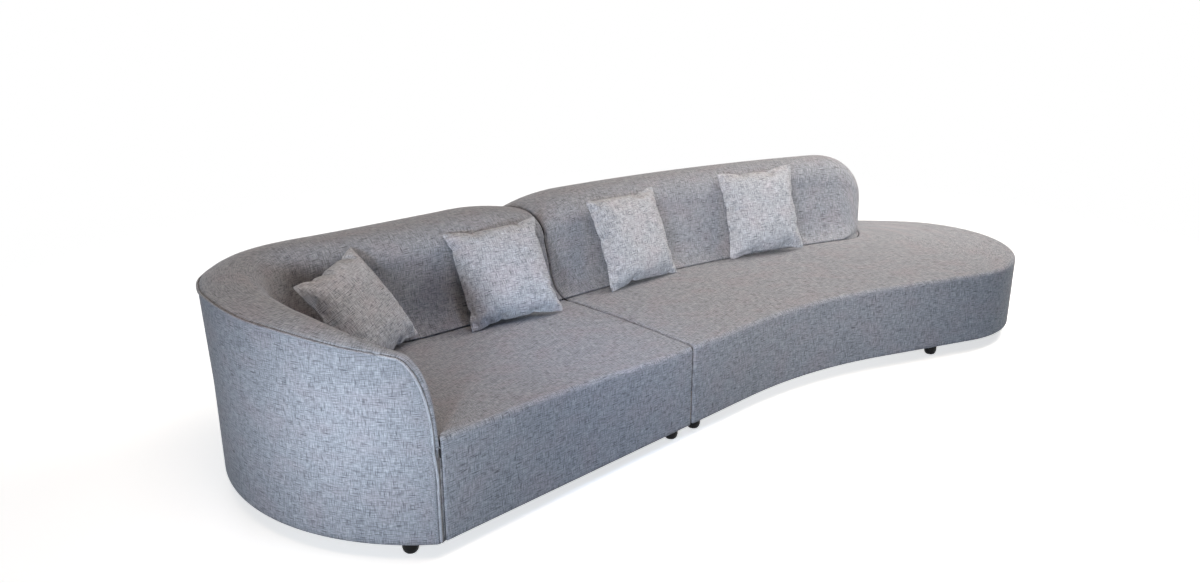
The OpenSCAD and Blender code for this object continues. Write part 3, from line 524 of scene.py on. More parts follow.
# %% [markdown]
# Timber, webbing, plastic and steel hardly show under the upholstery. Each could have a graph of
# its own. One function serves them all: a tone that wanders between two colours on stretched noise.

# %% Plain surfaces
def simple_material(name, low, high, scale, stretch=(1, 1, 1), roughness=0.5, metallic=0.0, bump=0.0002,
                    gloss=0.5):
    """A surface whose tone wanders between two colours on stretched noise, with the same noise as
    a fine relief. The scale is in noise cells per metre."""
    material, tree = new_material(name)
    place = add(tree, "ShaderNodeTexCoord", out="Object")
    place = add(tree, "ShaderNodeMapping", {"Vector": place}, Scale=stretch)
    noise = add(tree, "ShaderNodeTexNoise", {"Vector": place}, Scale=scale, Detail=4.0)
    ramp = add(tree, "ShaderNodeValToRGB", {"Fac": noise}, out=None)
    for element, position, tone in zip(ramp.color_ramp.elements, (0.35, 0.65), (low, high)):
        element.position, element.color = position, colour(tone)
    relief = add(tree, "ShaderNodeBump", {"Height": noise}, Strength=0.4, Distance=bump)
    rough = add(tree, "ShaderNodeMapRange", {"Value": noise}, To_Min=roughness - 0.06, To_Max=roughness + 0.06)
    shader = add(tree, "ShaderNodeBsdfPrincipled",
                 {"Base Color": ramp.outputs[0], "Normal": relief, "Roughness": rough},
                 Metallic=metallic, Specular_IOR_Level=gloss)
    add(tree, "ShaderNodeOutputMaterial", {"Surface": shader}, out=None)
    return material


# Black spunbonded lining, nearly without light: painted shade, a dark sheet in the gaps so that each reads as a
# dark line.
shade_lining = simple_material("lining_cloth", "#232327", "#35353A", 300, roughness=0.92)
print("lining cloth in cells of", round(1000 / 300, 1), "mm")

# %% [markdown]
# ## The backs
# The face under the crest leans back and tucks in behind the seat, as foam does that is pulled down
# to a rail. It could be drawn as a spline object. Here smooth cubic pieces join six points of the
# profile that shows at the joint, because a number is quick to correct against the photograph.

# %% Face of a back
FACE_SHARE, ROLL_SHARE = 0.73, 0.3
FACE_HEIGHTS = np.array([-0.05, 0.0, 0.12, 0.32, 0.6, 1.0])
FACE_DEPTHS = np.array([1.04, 1.0, 0.90, 0.83, 0.79, 0.73])


def smooth_through(x, xs, ys):
    """A smooth curve through points: cubic pieces whose slopes at the points are the mean of the
    slopes on either side."""
    slopes = np.diff(ys) / np.diff(xs)
    m = np.concatenate([[slopes[0]], (slopes[1:] + slopes[:-1]) / 2, [slopes[-1] * 0.6]])
    k = np.clip(np.searchsorted(xs, x) - 1, 0, len(xs) - 2)
    h = xs[k + 1] - xs[k]
    t = (x - xs[k]) / h
    return ((1 + 2 * t) * (1 - t) ** 2 * ys[k] + t * (1 - t) ** 2 * h * m[k]
            + t * t * (3 - 2 * t) * ys[k + 1] + t * t * (t - 1) * h * m[k + 1])


half_way = float(smooth_through(0.5, FACE_HEIGHTS, FACE_DEPTHS))
print("face at half its height:", round(half_way, 3), "of the thickness")

# %% [markdown]
# The roll's outside runs from just under the seam, over the crest and down the face, in more and
# closer steps where it bends more. Its foot rounds in above the seat. Even steps would be simpler,
# but show as flats beside the seam.

# %% Section of a back
SEAM_STEPS = np.concatenate([[0, 0.012, 0.025, 0.04, 0.06, 0.085, 0.115, 0.16], np.linspace(0.22, 1, 11)])
FACE_STEPS = np.concatenate([np.linspace(1, 0.05, 20)[1:], [0.035, 0.025, 0.017, 0.010, 0.005, 0]])
FOOT_RUN, FOOT_DEPTH = 0.012, 0.007
LIP, END_LIP = 0.03, 0.006
END_FROM, END_RUN, END_TUCK = 0.02, 0.30, 0.90


def roll_section(module, s):
    """Depth and height of the roll for each station: from the seam a flattened quarter ellipse to
    the crest, a second one to the top of the face, then the smooth face down behind the seat. Near
    the round end the foot of the face doesn't flare but tucks in."""
    s = s[:, None]
    share = mix(0.5, 0.4, width_share(module, s))
    crest, outer = depth(module, s, share), depth(module, s, 0.0)
    z_seam, z_crest = seam_height(module, s), crest_height(module, s)
    z_face = mix(z_crest, SEAT_Z, ROLL_SHARE)
    a = np.radians(90 * SEAM_STEPS)[None, :]
    b = np.radians(np.linspace(0, 90, 22)[1:])[None, :]
    k = FACE_STEPS[None, :]
    end = 1 - ease((end_gap(module, s) - END_FROM) / END_RUN)
    tuck = np.minimum(smooth_through(k, FACE_HEIGHTS, FACE_DEPTHS), mix(1.1, END_TUCK - 0.06 * (1 - k), end))
    foot = rounding(k * (z_face - SEAT_Z), FOOT_RUN, FOOT_DEPTH)
    d = np.concatenate([mix(crest, outer, np.cos(a)), mix(crest, depth(module, s, FACE_SHARE), np.sin(b)),
                        depth(module, s, tuck) - foot, depth(module, s, 1.0) - FOOT_DEPTH], 1)
    z = np.concatenate([mix(z_seam, z_crest, np.sin(a) ** 1.5), mix(z_face, z_crest, np.cos(b)),
                        mix(SEAT_Z, z_face, k), SEAT_Z - mix(LIP, END_LIP, end)], 1)
    return d, z


print("points in a section:", roll_section("chaise", np.array([0.5]))[0].shape[1])

# %% [markdown]
# Near the joint and along the seams the cloth rolls in, which draws the thin dark lines of the
# photograph. A bevel would do it too, but each point's distance to the joint or seam is known here,
# so it simply sinks along its normal.

# %% Rolled edges and grooves
JOINT_ROLL = 0.012
GROOVE_RUN, GROOVE_DEPTH = 0.010, 0.0085


def joint_roll(points, normals, module):
    """Rolls the cloth in towards the joint's flat face: each point sinks along its normal by a
    quarter round of its distance to that plane."""
    face = JOINT_X + (-HALF_GAP if module == "arm" else HALF_GAP)
    gap = np.abs(points[..., 0] - face)
    return points - normals * rounding(gap, JOINT_ROLL, JOINT_ROLL)[..., None]


def pull(x, run, deep):
    """Depth of the groove beside a seam at a distance x: the share left of its run, to the power
    1.3, times its depth."""
    return deep * np.maximum(0, 1 - x / run) ** 1.3


print("groove 2 mm from the seam:", round(1000 * float(pull(0.002, GROOVE_RUN, GROOVE_DEPTH)), 2), "mm deep")

# %% [markdown]
# Stations are the places along the wall where a section stands. A modifier could add detail evenly.
# Here they crowd where the shape bends: at the arm's thin front, at the joint and at the round end.

# %% Stations along the walls
TIP_RUN = 0.26


def stations(first, last, count, joint_at_end):
    """Even stations with extra ones close to the joint, for its small round edge."""
    near = np.array([0, 0.0007, 0.0015, 0.003, 0.005, 0.0075, 0.010, 0.013, 0.020, 0.032, 0.05])
    even = np.linspace(first, last, count)
    if joint_at_end:
        return np.concatenate([even[even < last - 0.06], last - near[::-1]])
    return np.concatenate([first + near, even[even > first + 0.06]])


quarter = np.sin(np.radians(np.linspace(0, 90, 36)))
arm_s = np.concatenate([TIP_RUN * (np.linspace(0, 1, 40) ** 2)[:-1], stations(TIP_RUN, arm_end_s, 190, True)])
chaise_s = np.concatenate([stations(chaise_start_s, panel_out, 150, False), panel_out + ROUND_R * quarter[1:]])
print("stations:", len(arm_s), "on the arm,", len(chaise_s), "on the chaise")

# %% [markdown]
# The back is foam and wadding under one piece of cloth. A sculpted mesh could do, but a grid of
# sections keeps the threads parallel to its rows. A second grid a padding's thickness in closes it
# to a shell. No panel covers the outer side of the round end, so a piece of the back does.

# %% Backs
PAD = 0.012


def back_shell(module, s):
    """The roll and face of one module's back: skin, inside and places on the cloth. Along its seam
    the cloth is pulled down into a groove."""
    outer = back_xyz(module, s[:, None], *roll_section(module, s))
    n = outward(outer, outer.mean(1, keepdims=True))
    uv = cloth_lengths(outer, straight=True)
    skin = joint_roll(outer, n, module) - n * pull(uv[..., 1], GROOVE_RUN, GROOVE_DEPTH)[..., None]
    return skin, skin - n * PAD, uv


def round_end_rear():
    """The outer side of the chaise's round end, from the seat up to the seam."""
    s = panel_out - 0.0005 + (ROUND_R + 0.0005) * quarter[:, None]
    k = np.linspace(0, 1, 30)[None, :]
    z = mix(SEAT_Z - END_LIP, seam_height("chaise", s) - 0.001, k)
    outer = back_xyz("chaise", s, depth("chaise", s, 0.0) + 0.0004 + 0 * k, z)
    n = outward(outer, back_xyz("chaise", s, depth("chaise", s, 0.5) + 0 * k, z))
    return outer, outer - n * PAD, cloth_lengths(outer, straight=True)


arm_shell, chaise_shell = back_shell("arm", arm_s), back_shell("chaise", chaise_s)
arm_back = closed_piece("arm_back", [arm_shell], body_linen)
chaise_back = closed_piece("chaise_back", [chaise_shell, round_end_rear()], body_linen)
print("arm back grid", arm_shell[0].shape, "chaise back grid", chaise_shell[0].shape)

# %% [markdown]
# ## The outer panels
# Below the seam the wall is one flat drop of cloth over board, tacked under the rail. A flat plane
# could be bent along the wall by a modifier. The grid of sections gives the same wall as the back,
# so both meet along the seam. Past the chaise's round end the panel drops to the seat.

# %% Outer panels
PANEL_PULL_RUN, PANEL_PULL = 0.007, 0.003


def panel_piece(name, module, s):
    """A sheet from the skirt up to the seam, a panel's thickness deep."""
    top = seam_height(module, s)
    if module == "chaise":
        top = np.where(s < panel_out, top, SEAT_Z)
    k = np.concatenate([np.linspace(0, 0.96, 32), 1 - 0.03 * (1 - np.linspace(0, 1, 10)) ** 1.5])[None, :]
    z = mix(SKIRT_Z, (top - 0.0015)[:, None], k)
    zero = np.zeros_like(z)
    outer = back_xyz(module, s[:, None], zero, z)
    n = outward(outer, outer.mean((0, 1)))
    pulled = pull(top[:, None] - z, PANEL_PULL_RUN, PANEL_PULL)
    if module == "arm":
        pulled = np.maximum(pulled, rounding(s, 0.008, PANEL_PULL)[:, None])
    skin = joint_roll(outer, n, module) - n * pulled[..., None]
    inner = back_xyz(module, s[:, None], zero + PANEL_T, z)
    return closed_piece(name, [(skin, inner, cloth_lengths(outer, straight=True))], body_linen)


hollow_out_s = panel_out + 0.55 * ROUND_R
panel_s = np.concatenate([chaise_s[chaise_s < panel_out - 0.001],
                          np.linspace(panel_out - 0.001, hollow_out_s, 12)])
arm_panel = panel_piece("arm_panel", "arm", arm_s)
chaise_panel = panel_piece("chaise_panel", "chaise", panel_s)
print("panels", [round(v, 3) for v in arm_panel.dimensions], [round(v, 3) for v in chaise_panel.dimensions], "m")

# %% [markdown]
# ## The welt
# A cord in a bias-cut sleeve is sewn between the outer panel and the roll. It follows the seam
# round the arm, turns down the arm's front edge and ends at the skirt. A curve object with a bevel
# would give the tube. A ring of points at each station gives the cloth's places as well.

# %% Tubes
def tube(name, path, radius, material, sides=12):
    """A closed tube round a path: rings in the plane across the path, from its tangent, a fixed
    up-and-out direction and their cross product."""
    path = np.asarray(path, float)
    tangent = np.gradient(path, axis=0)
    tangent /= np.linalg.norm(tangent, axis=1, keepdims=True)
    across = np.cross(tangent, [0.35, 0.25, 0.9])
    across /= np.linalg.norm(across, axis=1, keepdims=True)
    up = np.cross(across, tangent)
    a = np.linspace(0, 2 * np.pi, sides + 1)[None, :, None]
    ring = path[:, None] + radius * (np.cos(a) * across[:, None] + np.sin(a) * up[:, None])
    ring[0], ring[-1] = path[0], path[-1]
    return face_outwards(mesh_from(name, ring, grid_quads(*ring.shape[:2]), cloth_lengths(ring), material))


print("a cord of 50 rings has", len(grid_quads(50, 13)), "faces")

# %% [markdown]
# Along the seam the cord lies deep and reads as a thin dark line. On the arm's front it stands out
# and catches more light, which is painted into its cloth as a paler colour, a painted highlight. So the
# last 16 cm of the seam and the edge below it are a piece of their own. One cord with two colours
# would need a mask. Two pieces need none.

# %% Welts
WELT_R, FRONT_WELT_R, PALE_RUN = 0.0042, 0.0048, 0.16
SKIRT_LIP = SKIRT_Z + 0.002
CORD_OUT, CORD_UNDER = 0.0006, 0.0010
FRONT_IN, FRONT_PROUD, FRONT_TURN = 0.0050, 0.0008, 0.10
seam_s = arm_s[::-1]
seam_line = back_xyz("arm", seam_s, np.full_like(seam_s, -CORD_OUT), seam_height("arm", seam_s) - CORD_UNDER)
edge_z = np.linspace(float(seam_height("arm", np.array([0.0]))[0]), SKIRT_LIP, 60)[1:]
turned = ease((edge_z[0] - edge_z) / FRONT_TURN)
edge_line = (back_xyz("arm", np.zeros_like(edge_z), mix(-CORD_OUT, FRONT_IN, turned), edge_z)
             - [0, FRONT_PROUD, 0] * turned[:, None])
turn = int(np.sum(seam_s > PALE_RUN))
front_line = np.concatenate([seam_line[turn:], edge_line])
arm_welt = tube("arm_welt", seam_line[:turn + 1], WELT_R, body_linen)
# Its paler cloth is a painted highlight for the light the standing cord catches.
front_welt = tube("arm_front_welt", front_line, FRONT_WELT_R, welt_painted_highlight_linen)
end_s = chaise_s[chaise_s < panel_out]
chaise_line = back_xyz("chaise", end_s, np.full_like(end_s, 0.0012), seam_height("chaise", end_s) + 0.0005)
chaise_welt = tube("chaise_welt", chaise_line, WELT_R, body_linen)
print("welts on", len(seam_line[:turn + 1]), len(front_line), len(chaise_line), "rings")

# %% [markdown]
# Between the arm's front edge and the seat there is a gap of a few millimetres. Black lining cloth
# closes it from behind, so that the timber can't be seen through it, and its black is painted shade,
# so the gap reads as a dark line. It could be a plane, but these pieces are also exported as solids, so
# each flat one is an outline with a little thickness.

# %% Lining behind the gap, painted shade
def slab(name, outline, way, material):
    """A closed flat piece: an outline, its copy moved by way, and quads between the two. The cloth
    lies on the two axes along which it is longest."""
    n = len(outline)
    points = np.concatenate([outline, np.asarray(outline) + way])
    faces = [list(range(n)), list(range(n, 2 * n))]
    faces += [[k, (k + 1) % n, n + (k + 1) % n, n + k] for k in range(n)]
    wide = np.sort(np.argsort(np.ptp(points, axis=0))[1:])
    return face_outwards(mesh_from(name, points, faces, points[:, wide], material))


def upright(name, x, y, high, material):
    """A narrow strip with a rectangular section that stands up from the skirt."""
    ring = [[x[k], y[m], SKIRT_LIP] for k, m in ((0, 0), (1, 0), (1, 1), (0, 1))]
    return slab(name, ring, [0, 0, high - SKIRT_LIP], material)


TIP_GAP = 0.004
LINING_TOP, EDGE_TOP = 0.392, 0.362
gap_low, gap_high = back_xyz("arm", np.zeros(2), np.array([PANEL_T, TIP_T + 0.0005]), np.zeros(2))[:, 0]
# Black lining cloth in the gap is painted shade, so the gap reads as a dark line.
arm_shade_lining = upright("arm_front_lining", (gap_high - 0.0003, gap_high + TIP_GAP - 0.0002),
                     (JOINT_Y + 0.007, JOINT_Y + 0.009), LINING_TOP, shade_lining)
arm_edge = upright("arm_front_edge", (gap_low + 0.0003, gap_high - 0.0005),
                   (JOINT_Y + 0.0015, JOINT_Y + 0.009), EDGE_TOP, body_linen)
print("gap at the arm's front:", 1000 * TIP_GAP, "mm")

# %% [markdown]
# ## The seats
# Each seat is a tight foam slab with a soft front edge. A box with bevelled edges would miss how
# the cover is fitted: its rows run from the front outline to the line where the back begins, and on
# the chaise they swing round the open end. So a front point and a rear point are found for each row.

# %% Rows of the seats
EDGE_R = 0.020
TIP_STEPS, ARM_STEPS, CHAISE_STEPS, SWING_STEPS = 7, 23, 16, 18
arm_rows = TIP_STEPS + ARM_STEPS - 3  # the seat ends three steps short of the arm's tip
arm_table = np.concatenate([TIP_RUN * (np.arange(TIP_STEPS) / TIP_STEPS) ** 2,
                            mix(TIP_RUN, arm_end_s, np.arange(ARM_STEPS + 1) / ARM_STEPS)])
swing_start_s = sum(leg[0] for leg in chaise_arcs) + nose_run * 0.4
SWING_TURN = 147  # degrees round the middle of the back's open end


def seat_rear(module, s):
    """Point where the seat meets the back's face."""
    return back_xyz(module, s, thickness(module, s) + 0.0005, np.full_like(s, SEAT_Z))[..., :2]


def seat_lines(module, i):
    """Front and rear points in plan, and the front's inward way, for fractional row numbers i."""
    if module == "arm":
        k = i / arm_rows
        face = JOINT_X - HALF_GAP
        tip = seat_rear("arm", np.array([0.0]))[0, 0] + TIP_GAP
        front = np.stack([mix(face, tip, k), np.full_like(i, JOINT_Y)], -1)
        way = np.stack([np.zeros_like(i), np.ones_like(i)], -1)
        index = len(arm_table) - 1 - i
        rear = seat_rear("arm", np.interp(index, np.arange(len(arm_table)), arm_table))
        return front, rear, way
    s = np.where(i <= CHAISE_STEPS,
                 mix(chaise_wall - HALF_GAP, swing_start_s, i / CHAISE_STEPS),
                 mix(swing_start_s, hollow_out_s + 0.0005, (i - CHAISE_STEPS) / SWING_STEPS))
    x, y, h = wall("chaise", s)
    h = np.radians(h)
    way = np.stack([np.sin(h), -np.cos(h)], -1)
    straight = seat_rear("chaise", mix(chaise_start_s, panel_out - 0.001, np.clip(i / CHAISE_STEPS, 0, 1)))
    a = np.radians(SWING_TURN * np.clip((i - CHAISE_STEPS) / SWING_STEPS, 0, 1))
    t = float(thickness("chaise", np.array([panel_out]))[0])
    r = t / 2 + 0.0015
    px, py, ph = wall("chaise", panel_out + r * np.sin(a))
    ph = np.radians(ph)
    d = t / 2 + r * np.cos(a)
    swing = np.stack([px + d * np.sin(ph), py - d * np.cos(ph)], -1)
    return np.stack([x, y], -1), np.where((i <= CHAISE_STEPS)[:, None], straight, swing), way


front, rear, _ = seat_lines("chaise", np.array([0.0, float(CHAISE_STEPS)]))
print("seat depth at the joint and the round end:", np.round(np.linalg.norm(rear - front, axis=1), 3), "m")

# %% [markdown]
# Every row is the same walk: up the front border, round the soft edge, over a crown of a few
# millimetres, and down behind the foot of the back, where a real cover is pulled through and tacked.

# %% Seats
SEAT_PAD = 0.010
TIP_RISE = 0.038
REAR_RUN, REAR_DROP = 0.012, 0.009
JOINT_ROWS = [0, .0007, .0015, .003, .006, .01, .016, .024, .035, .06, .1]


def seat_piece(name, module, last, count):
    """Front border, soft edge, crowned top and the tuck under the back, for every row at once. The
    first rows crowd at the joint, where the cloth rolls in. The arm's front edge rises to the tip."""
    rows = np.concatenate([JOINT_ROWS, np.linspace(0.2, last, count)])
    front, rear, way = seat_lines(module, rows)
    edge = SEAT_Z + (TIP_RISE * ease(rows / arm_rows / 0.75) if module == "arm" else np.zeros_like(rows))
    length = np.linalg.norm(rear - front, axis=1)
    places, heights = [], []
    for b in np.linspace(0, 1, 30):
        places.append(front)
        heights.append(mix(SKIRT_Z, edge - EDGE_R, b))
    for a in np.radians(np.linspace(0, 90, 9))[1:]:
        places.append(front + EDGE_R * (1 - math.cos(a)) * way)
        heights.append(edge - EDGE_R * (1 - math.sin(a)))
    for q in np.concatenate([np.linspace(0, 0.97, 58)[1:], 1 - 0.03 * np.linspace(1, 0, 12)[1:-1] ** 1.4]):
        places.append(mix(front + EDGE_R * way, rear, q))
        heights.append(mix(edge, SEAT_Z, ease(q)) + SEAT_CROWN * 4 * q * (1 - q)
                       - rounding((1 - q) * length, REAR_RUN, REAR_DROP))
    places += [rear, rear]
    heights += [np.full_like(rows, SEAT_Z - REAR_RUN), np.full_like(rows, DECK_Z)]
    outer = np.stack([np.concatenate([xy, z[:, None]], 1) for xy, z in zip(places, heights)], 1)
    n = outward(outer, outer.mean(1, keepdims=True))
    shell = (joint_roll(outer, n, module), outer - n * SEAT_PAD, cloth_lengths(outer))
    return closed_piece(name, [shell], body_linen)


arm_seat = seat_piece("arm_seat", "arm", arm_rows, 130)
chaise_seat = seat_piece("chaise_seat", "chaise", CHAISE_STEPS + SWING_STEPS, 260)
print("seats", [round(v, 3) for v in arm_seat.dimensions], [round(v, 3) for v in chaise_seat.dimensions], "m")

# %% [markdown]
# ## Linings at the joint
# With the modules apart, each flat end is closed above its rails by lining cloth, tacked inside the
# rolled edge of the upholstery. Its black is painted shade, so that the joint reads as a dark line.
# It could be filled in by hand round the open edge. The outline is known already, from the last
# section of the back and the front of the seat, so it is used again.

# %% Joint linings
def joint_lining(module):
    """Lining over a module's flat end: up the rear, along the back's own section, over the seat and
    down its front."""
    row, side = (arm_shell[0][-1], -1) if module == "arm" else (chaise_shell[0][0], 1)
    back = row[:-1, 1:]
    q = np.linspace(1, 0, 12)[1:]
    front, low, high = JOINT_Y + JOINT_ROLL, BASE_TOP + 0.004, SEAT_Z - JOINT_ROLL
    seat = np.stack([mix(front + EDGE_R, back[-1, 0], q), high + SEAT_CROWN * 4 * q * (1 - q)], -1)
    yz = np.concatenate([[[back[0, 0], low]], back, seat, [[front, high - EDGE_R], [front, low]]])
    outline = np.column_stack([np.full(len(yz), JOINT_X + side * (HALF_GAP + 0.0012)), yz])
    # Black lining cloth here is painted shade: it makes the joint read as a dark line.
    return slab(module + "_joint_lining", outline, [side * 0.0014, 0, 0], shade_lining)


arm_joint_lining, chaise_joint_lining = joint_lining("arm"), joint_lining("chaise")
print("joint lining", [round(v, 3) for v in arm_joint_lining.dimensions], "m")

# %% [markdown]
# ## Scatter cushions
# Two squares of cloth sewn together and stuffed. Nothing gives the pointed corners and puckered
# seams of a real one as well as doing the same here: a flat envelope of two grids that share
# their edge is blown up as cloth under pressure. First come the places and the two flat squares.

# %% Envelopes of the cushions
CUSHIONS = {
    "corner_cushion": ((-0.9955, 0.789, 0.5879), (27.5, -36.7, -3.9)),
    "arm_cushion": ((-0.3165, 0.772, 0.5846), (-14.2, -32.4, -2.3)),
    "middle_cushion": ((0.412, 0.7423, 0.5899), (-1.3, -25.4, 0.5)),
    "end_cushion": ((1.171, 0.5995, 0.5997), (-21.0, -20.3, -1.7)),
}
CUSHION_W, CUSHION_T, REAR_SHARE = 0.420, 0.120, 0.36
CORNER_HALF = CUSHION_W / 2 + 0.002
CUT = 0.452


def turn_matrix(turns):
    """Rotation by the roll about Y, then the lean about X, then the turn about Z, in degrees."""
    az, ax, ay = np.radians(turns)
    rz = np.array([[np.cos(az), -np.sin(az), 0], [np.sin(az), np.cos(az), 0], [0, 0, 1]])
    rx = np.array([[1, 0, 0], [0, np.cos(ax), -np.sin(ax)], [0, np.sin(ax), np.cos(ax)]])
    ry = np.array([[np.cos(ay), 0, np.sin(ay)], [0, 1, 0], [-np.sin(ay), 0, np.cos(ay)]])
    return rz @ rx @ ry


def envelope(seed, count=56):
    """Two square grids that share their border, a little apart in the middle, with a seeded
    unevenness so that no two cushions pucker alike. Gives vertices, quads, cloth places and which
    vertices lie on the seam."""
    random = np.random.default_rng(seed)
    t = np.linspace(-1, 1, count + 1)
    u, v = np.meshgrid(t, t, indexing="ij")
    lift = 0.012 * (1 - u ** 2) * (1 - v ** 2)
    wobble = 0.0010 * random.standard_normal(u.shape) * (1 - u ** 4) * (1 - v ** 4)
    sheets = [np.stack([u * CUT / 2, y, v * CUT / 2], -1).reshape(-1, 3) for y in (-lift + wobble, lift + wobble)]
    vertices = np.concatenate(sheets)
    n = count + 1
    same = np.arange(2 * n * n)
    edge = ((np.abs(u) == 1) | (np.abs(v) == 1)).ravel()
    same[n * n:][edge] = np.arange(n * n)[edge]
    quads = np.concatenate([grid_quads(n, n), same[grid_quads(n, n, n * n, flip=True)]])
    used = np.unique(quads)
    renumber = np.zeros(2 * n * n, int)
    renumber[used] = np.arange(len(used))
    uv = vertices[:, [0, 2]] + seed * 0.37
    return vertices[used], renumber[quads], uv[used], edge[used % (n * n)] & (used < n * n)


print("cut", 1000 * CUT, "mm square for a cushion", 1000 * CUSHION_W, "mm wide")

# %% [markdown]
# The cloth modifier does the stuffing. Its pressure pushes both squares apart, as filling does. The
# seam's thread shrinks by a hundredth, which gathers the cloth beside it.

# %% Blowing up
PRESSURE, SEAM_SHRINK, LAST_FRAME = 1.8, 0.01, 20


def inflate(piece, seam):
    """Cloth under pressure, with no gravity, up to the last frame. Gives the points it came to."""
    group = piece.vertex_groups.new(name="seam")
    group.add([int(k) for k in np.nonzero(seam)[0]], 1.0, "REPLACE")
    cloth = piece.modifiers.new("Cloth", "CLOTH")
    settings = cloth.settings
    settings.quality = 8
    settings.mass = 0.15
    settings.tension_stiffness = settings.compression_stiffness = 80
    settings.shear_stiffness = 24
    settings.bending_stiffness = 0.1
    settings.use_pressure = True
    settings.uniform_pressure_force = PRESSURE
    settings.vertex_group_shrink = "seam"
    settings.shrink_min, settings.shrink_max = 0.0, SEAM_SHRINK
    settings.effector_weights.gravity = 0
    cloth.collision_settings.use_collision = False
    scene = bpy.context.scene
    for frame_number in range(1, LAST_FRAME + 1):
        scene.frame_set(frame_number)
    result = piece.evaluated_get(bpy.context.evaluated_depsgraph_get()).data
    points = np.empty(len(result.vertices) * 3)
    result.vertices.foreach_get("co", points)
    piece.modifiers.remove(cloth)
    scene.frame_set(1)
    return points.reshape(-1, 3)


print("cloth under pressure", PRESSURE, "for", LAST_FRAME, "frames")

# %% [markdown]
# Blowing up gives the folds but not the exact size. The result is brought to the real width and
# thickness and then turned and set in its place against the back.

# %% Cushions
def fit_cushion(points, corners):
    """Brings the blown-up envelope to the cushion's real width and thickness, fuller in front. The
    four corners go to the corners of a square: x and z each become a mean plus parts of x, z and
    their product, solved from the four corners."""
    p = points - points[corners].mean(0)
    x, z = p[corners, 0], p[corners, 2]
    side = np.sign(np.stack([x, z], 1)) * CORNER_HALF
    terms = np.linalg.solve(np.stack([np.ones(4), x, z, x * z], 1), side)
    p[:, [0, 2]] = np.stack([np.ones(len(p)), p[:, 0], p[:, 2], p[:, 0] * p[:, 2]], 1) @ terms
    p[:, 1] *= CUSHION_T / (p[:, 1].max() - p[:, 1].min())
    p[:, 1] *= np.where(p[:, 1] > 0, REAR_SHARE / 0.5, (1 - REAR_SHARE) / 0.5)
    return p


def cushion(name, place, turns, seed):
    """One scatter cushion in its place."""
    vertices, quads, uv, seam = envelope(seed)
    piece = mesh_from(name, vertices, quads, uv, cushion_linen)
    points = inflate(piece, seam)
    corners = np.argsort(-np.abs(vertices[:, 0]) - np.abs(vertices[:, 2]))[:4]
    points = fit_cushion(points, corners) @ turn_matrix(turns).T + np.array(place) + [JOINT_X, JOINT_Y, 0]
    piece.data.vertices.foreach_set("co", points.ravel())
    piece.data.update()
    smooth = piece.modifiers.new("smooth", "SUBSURF")
    smooth.levels = smooth.render_levels = 1
    return piece


cushions = {name: cushion(name, *CUSHIONS[name], k + 1) for k, name in enumerate(CUSHIONS)}
for name, piece in cushions.items():
    print(name, [round(v, 3) for v in piece.dimensions], "m")

# %% [markdown]
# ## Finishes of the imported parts
# Inside are timber, plywood, webbing and foam, and below are black moulded feet. One grey for all
# would do for the photograph. But the modules and cushions can be taken apart, and then each piece
# should look like what it is made of.

# %% Finishes
FINISHES = {
    # Planed pine is yellow and matt, with a long soft grain.
    "timber": simple_material("planed_pine", "#C39A63", "#D9B884", 14, (1, 1, 6), 0.6),
    # Birch plywood is paler, with thin layers and a little more gloss.
    "plywood": simple_material("birch_plywood", "#CDA974", "#E2C79A", 10, (1, 1, 24), 0.55),
    # Elastic webbing is a dark rib weave that takes the light away.
    "webbing": simple_material("elastic_webbing", "#2C2B2A", "#4A4845", 260, roughness=0.85, bump=0.0005),
    # Spunbonded dust cloth is nearly black, so the underside disappears.
    "dust": simple_material("spunbond_dust_cloth", "#17171A", "#26262A", 320, roughness=0.9, bump=0.0004),
    # Moulded feet are deep black and only half dull, with hardly a highlight.
    "feet": simple_material("black_moulded_plastic", "#060607", "#0C0C0E", 90, roughness=0.45, gloss=0.15),
    # Zinc-plated steel is the one bright metal, a cool glint at studs and plates.
    "steel": simple_material("zinc_plated_steel", "#A9ACB0", "#C6C8CB", 60, roughness=0.32, metallic=1.0),
    # Polyester filling is a soft warm white without any shine.
    "foam": simple_material("polyester_filling", "#E9E8E2", "#F6F5F1", 45, roughness=0.95, bump=0.001),
}
KINDS = {
    "timber": ("base_rails", "bearers"), "plywood": ("seat_rail", "foot_blocks", "back_ribs", "top_rail"),
    "webbing": ("webbing",), "dust": ("dust_cloth",), "feet": ("feet",),
    "steel": ("foot_studs", "tee_nuts", "plates"), "foam": ("filling",),
}
for name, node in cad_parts.items():
    finish = next((FINISHES[f] for f, parts in KINDS.items() if name.endswith(parts)), body_linen)
    node.data.materials.clear()
    node.data.materials.append(finish)
    print(name, "in", finish.name)

# %% [markdown]
# ## Riding on the imported bodies
# Each piece stands for the imported solid that it covers and moves with its body, so a cushion lifts
# off and the two modules draw apart. Parenting by hand would work too. Here a small function parents
# each piece to an empty of its body, and the imported solid it replaces is hidden. Welts and linings replace
# nothing.

# %% Bodies and slots
for module, back, panel, seat in (("arm", arm_back, arm_panel, arm_seat),
                                  ("chaise", chaise_back, chaise_panel, chaise_seat)):
    for piece, solid in ((back, "back_pad"), (panel, "outer_panel"), (seat, "seat_pad")):
        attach(piece, module + "_module")
        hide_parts(module + "_" + solid)
for module, trims in (("arm", (arm_welt, front_welt, arm_shade_lining, arm_edge, arm_joint_lining)),
                      ("chaise", (chaise_welt, chaise_joint_lining))):
    for piece in trims:
        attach(piece, module + "_module")
for name, piece in cushions.items():
    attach(piece, name)
    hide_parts(name + "_cover", name + "_filling")
print("6 pieces and 7 trims ride on the modules, and", len(cushions), "cushions on their own bodies")

# %% [markdown]
# ## Floor and light
# The photograph is a cut-out on white. The floor could be left out, but then the feet would stand on
# nothing, so a pale floor catches a soft shadow and fades out into a white surround. What the camera
# sees is white, while the light that bounces is dimmer, and keeps the lower faces dark.

# %% Floor
FLOOR_GLOW, FLOOR_HALF = 0.62, 14.0
FADE_FROM, FADE_TO = 2.2, 4.2


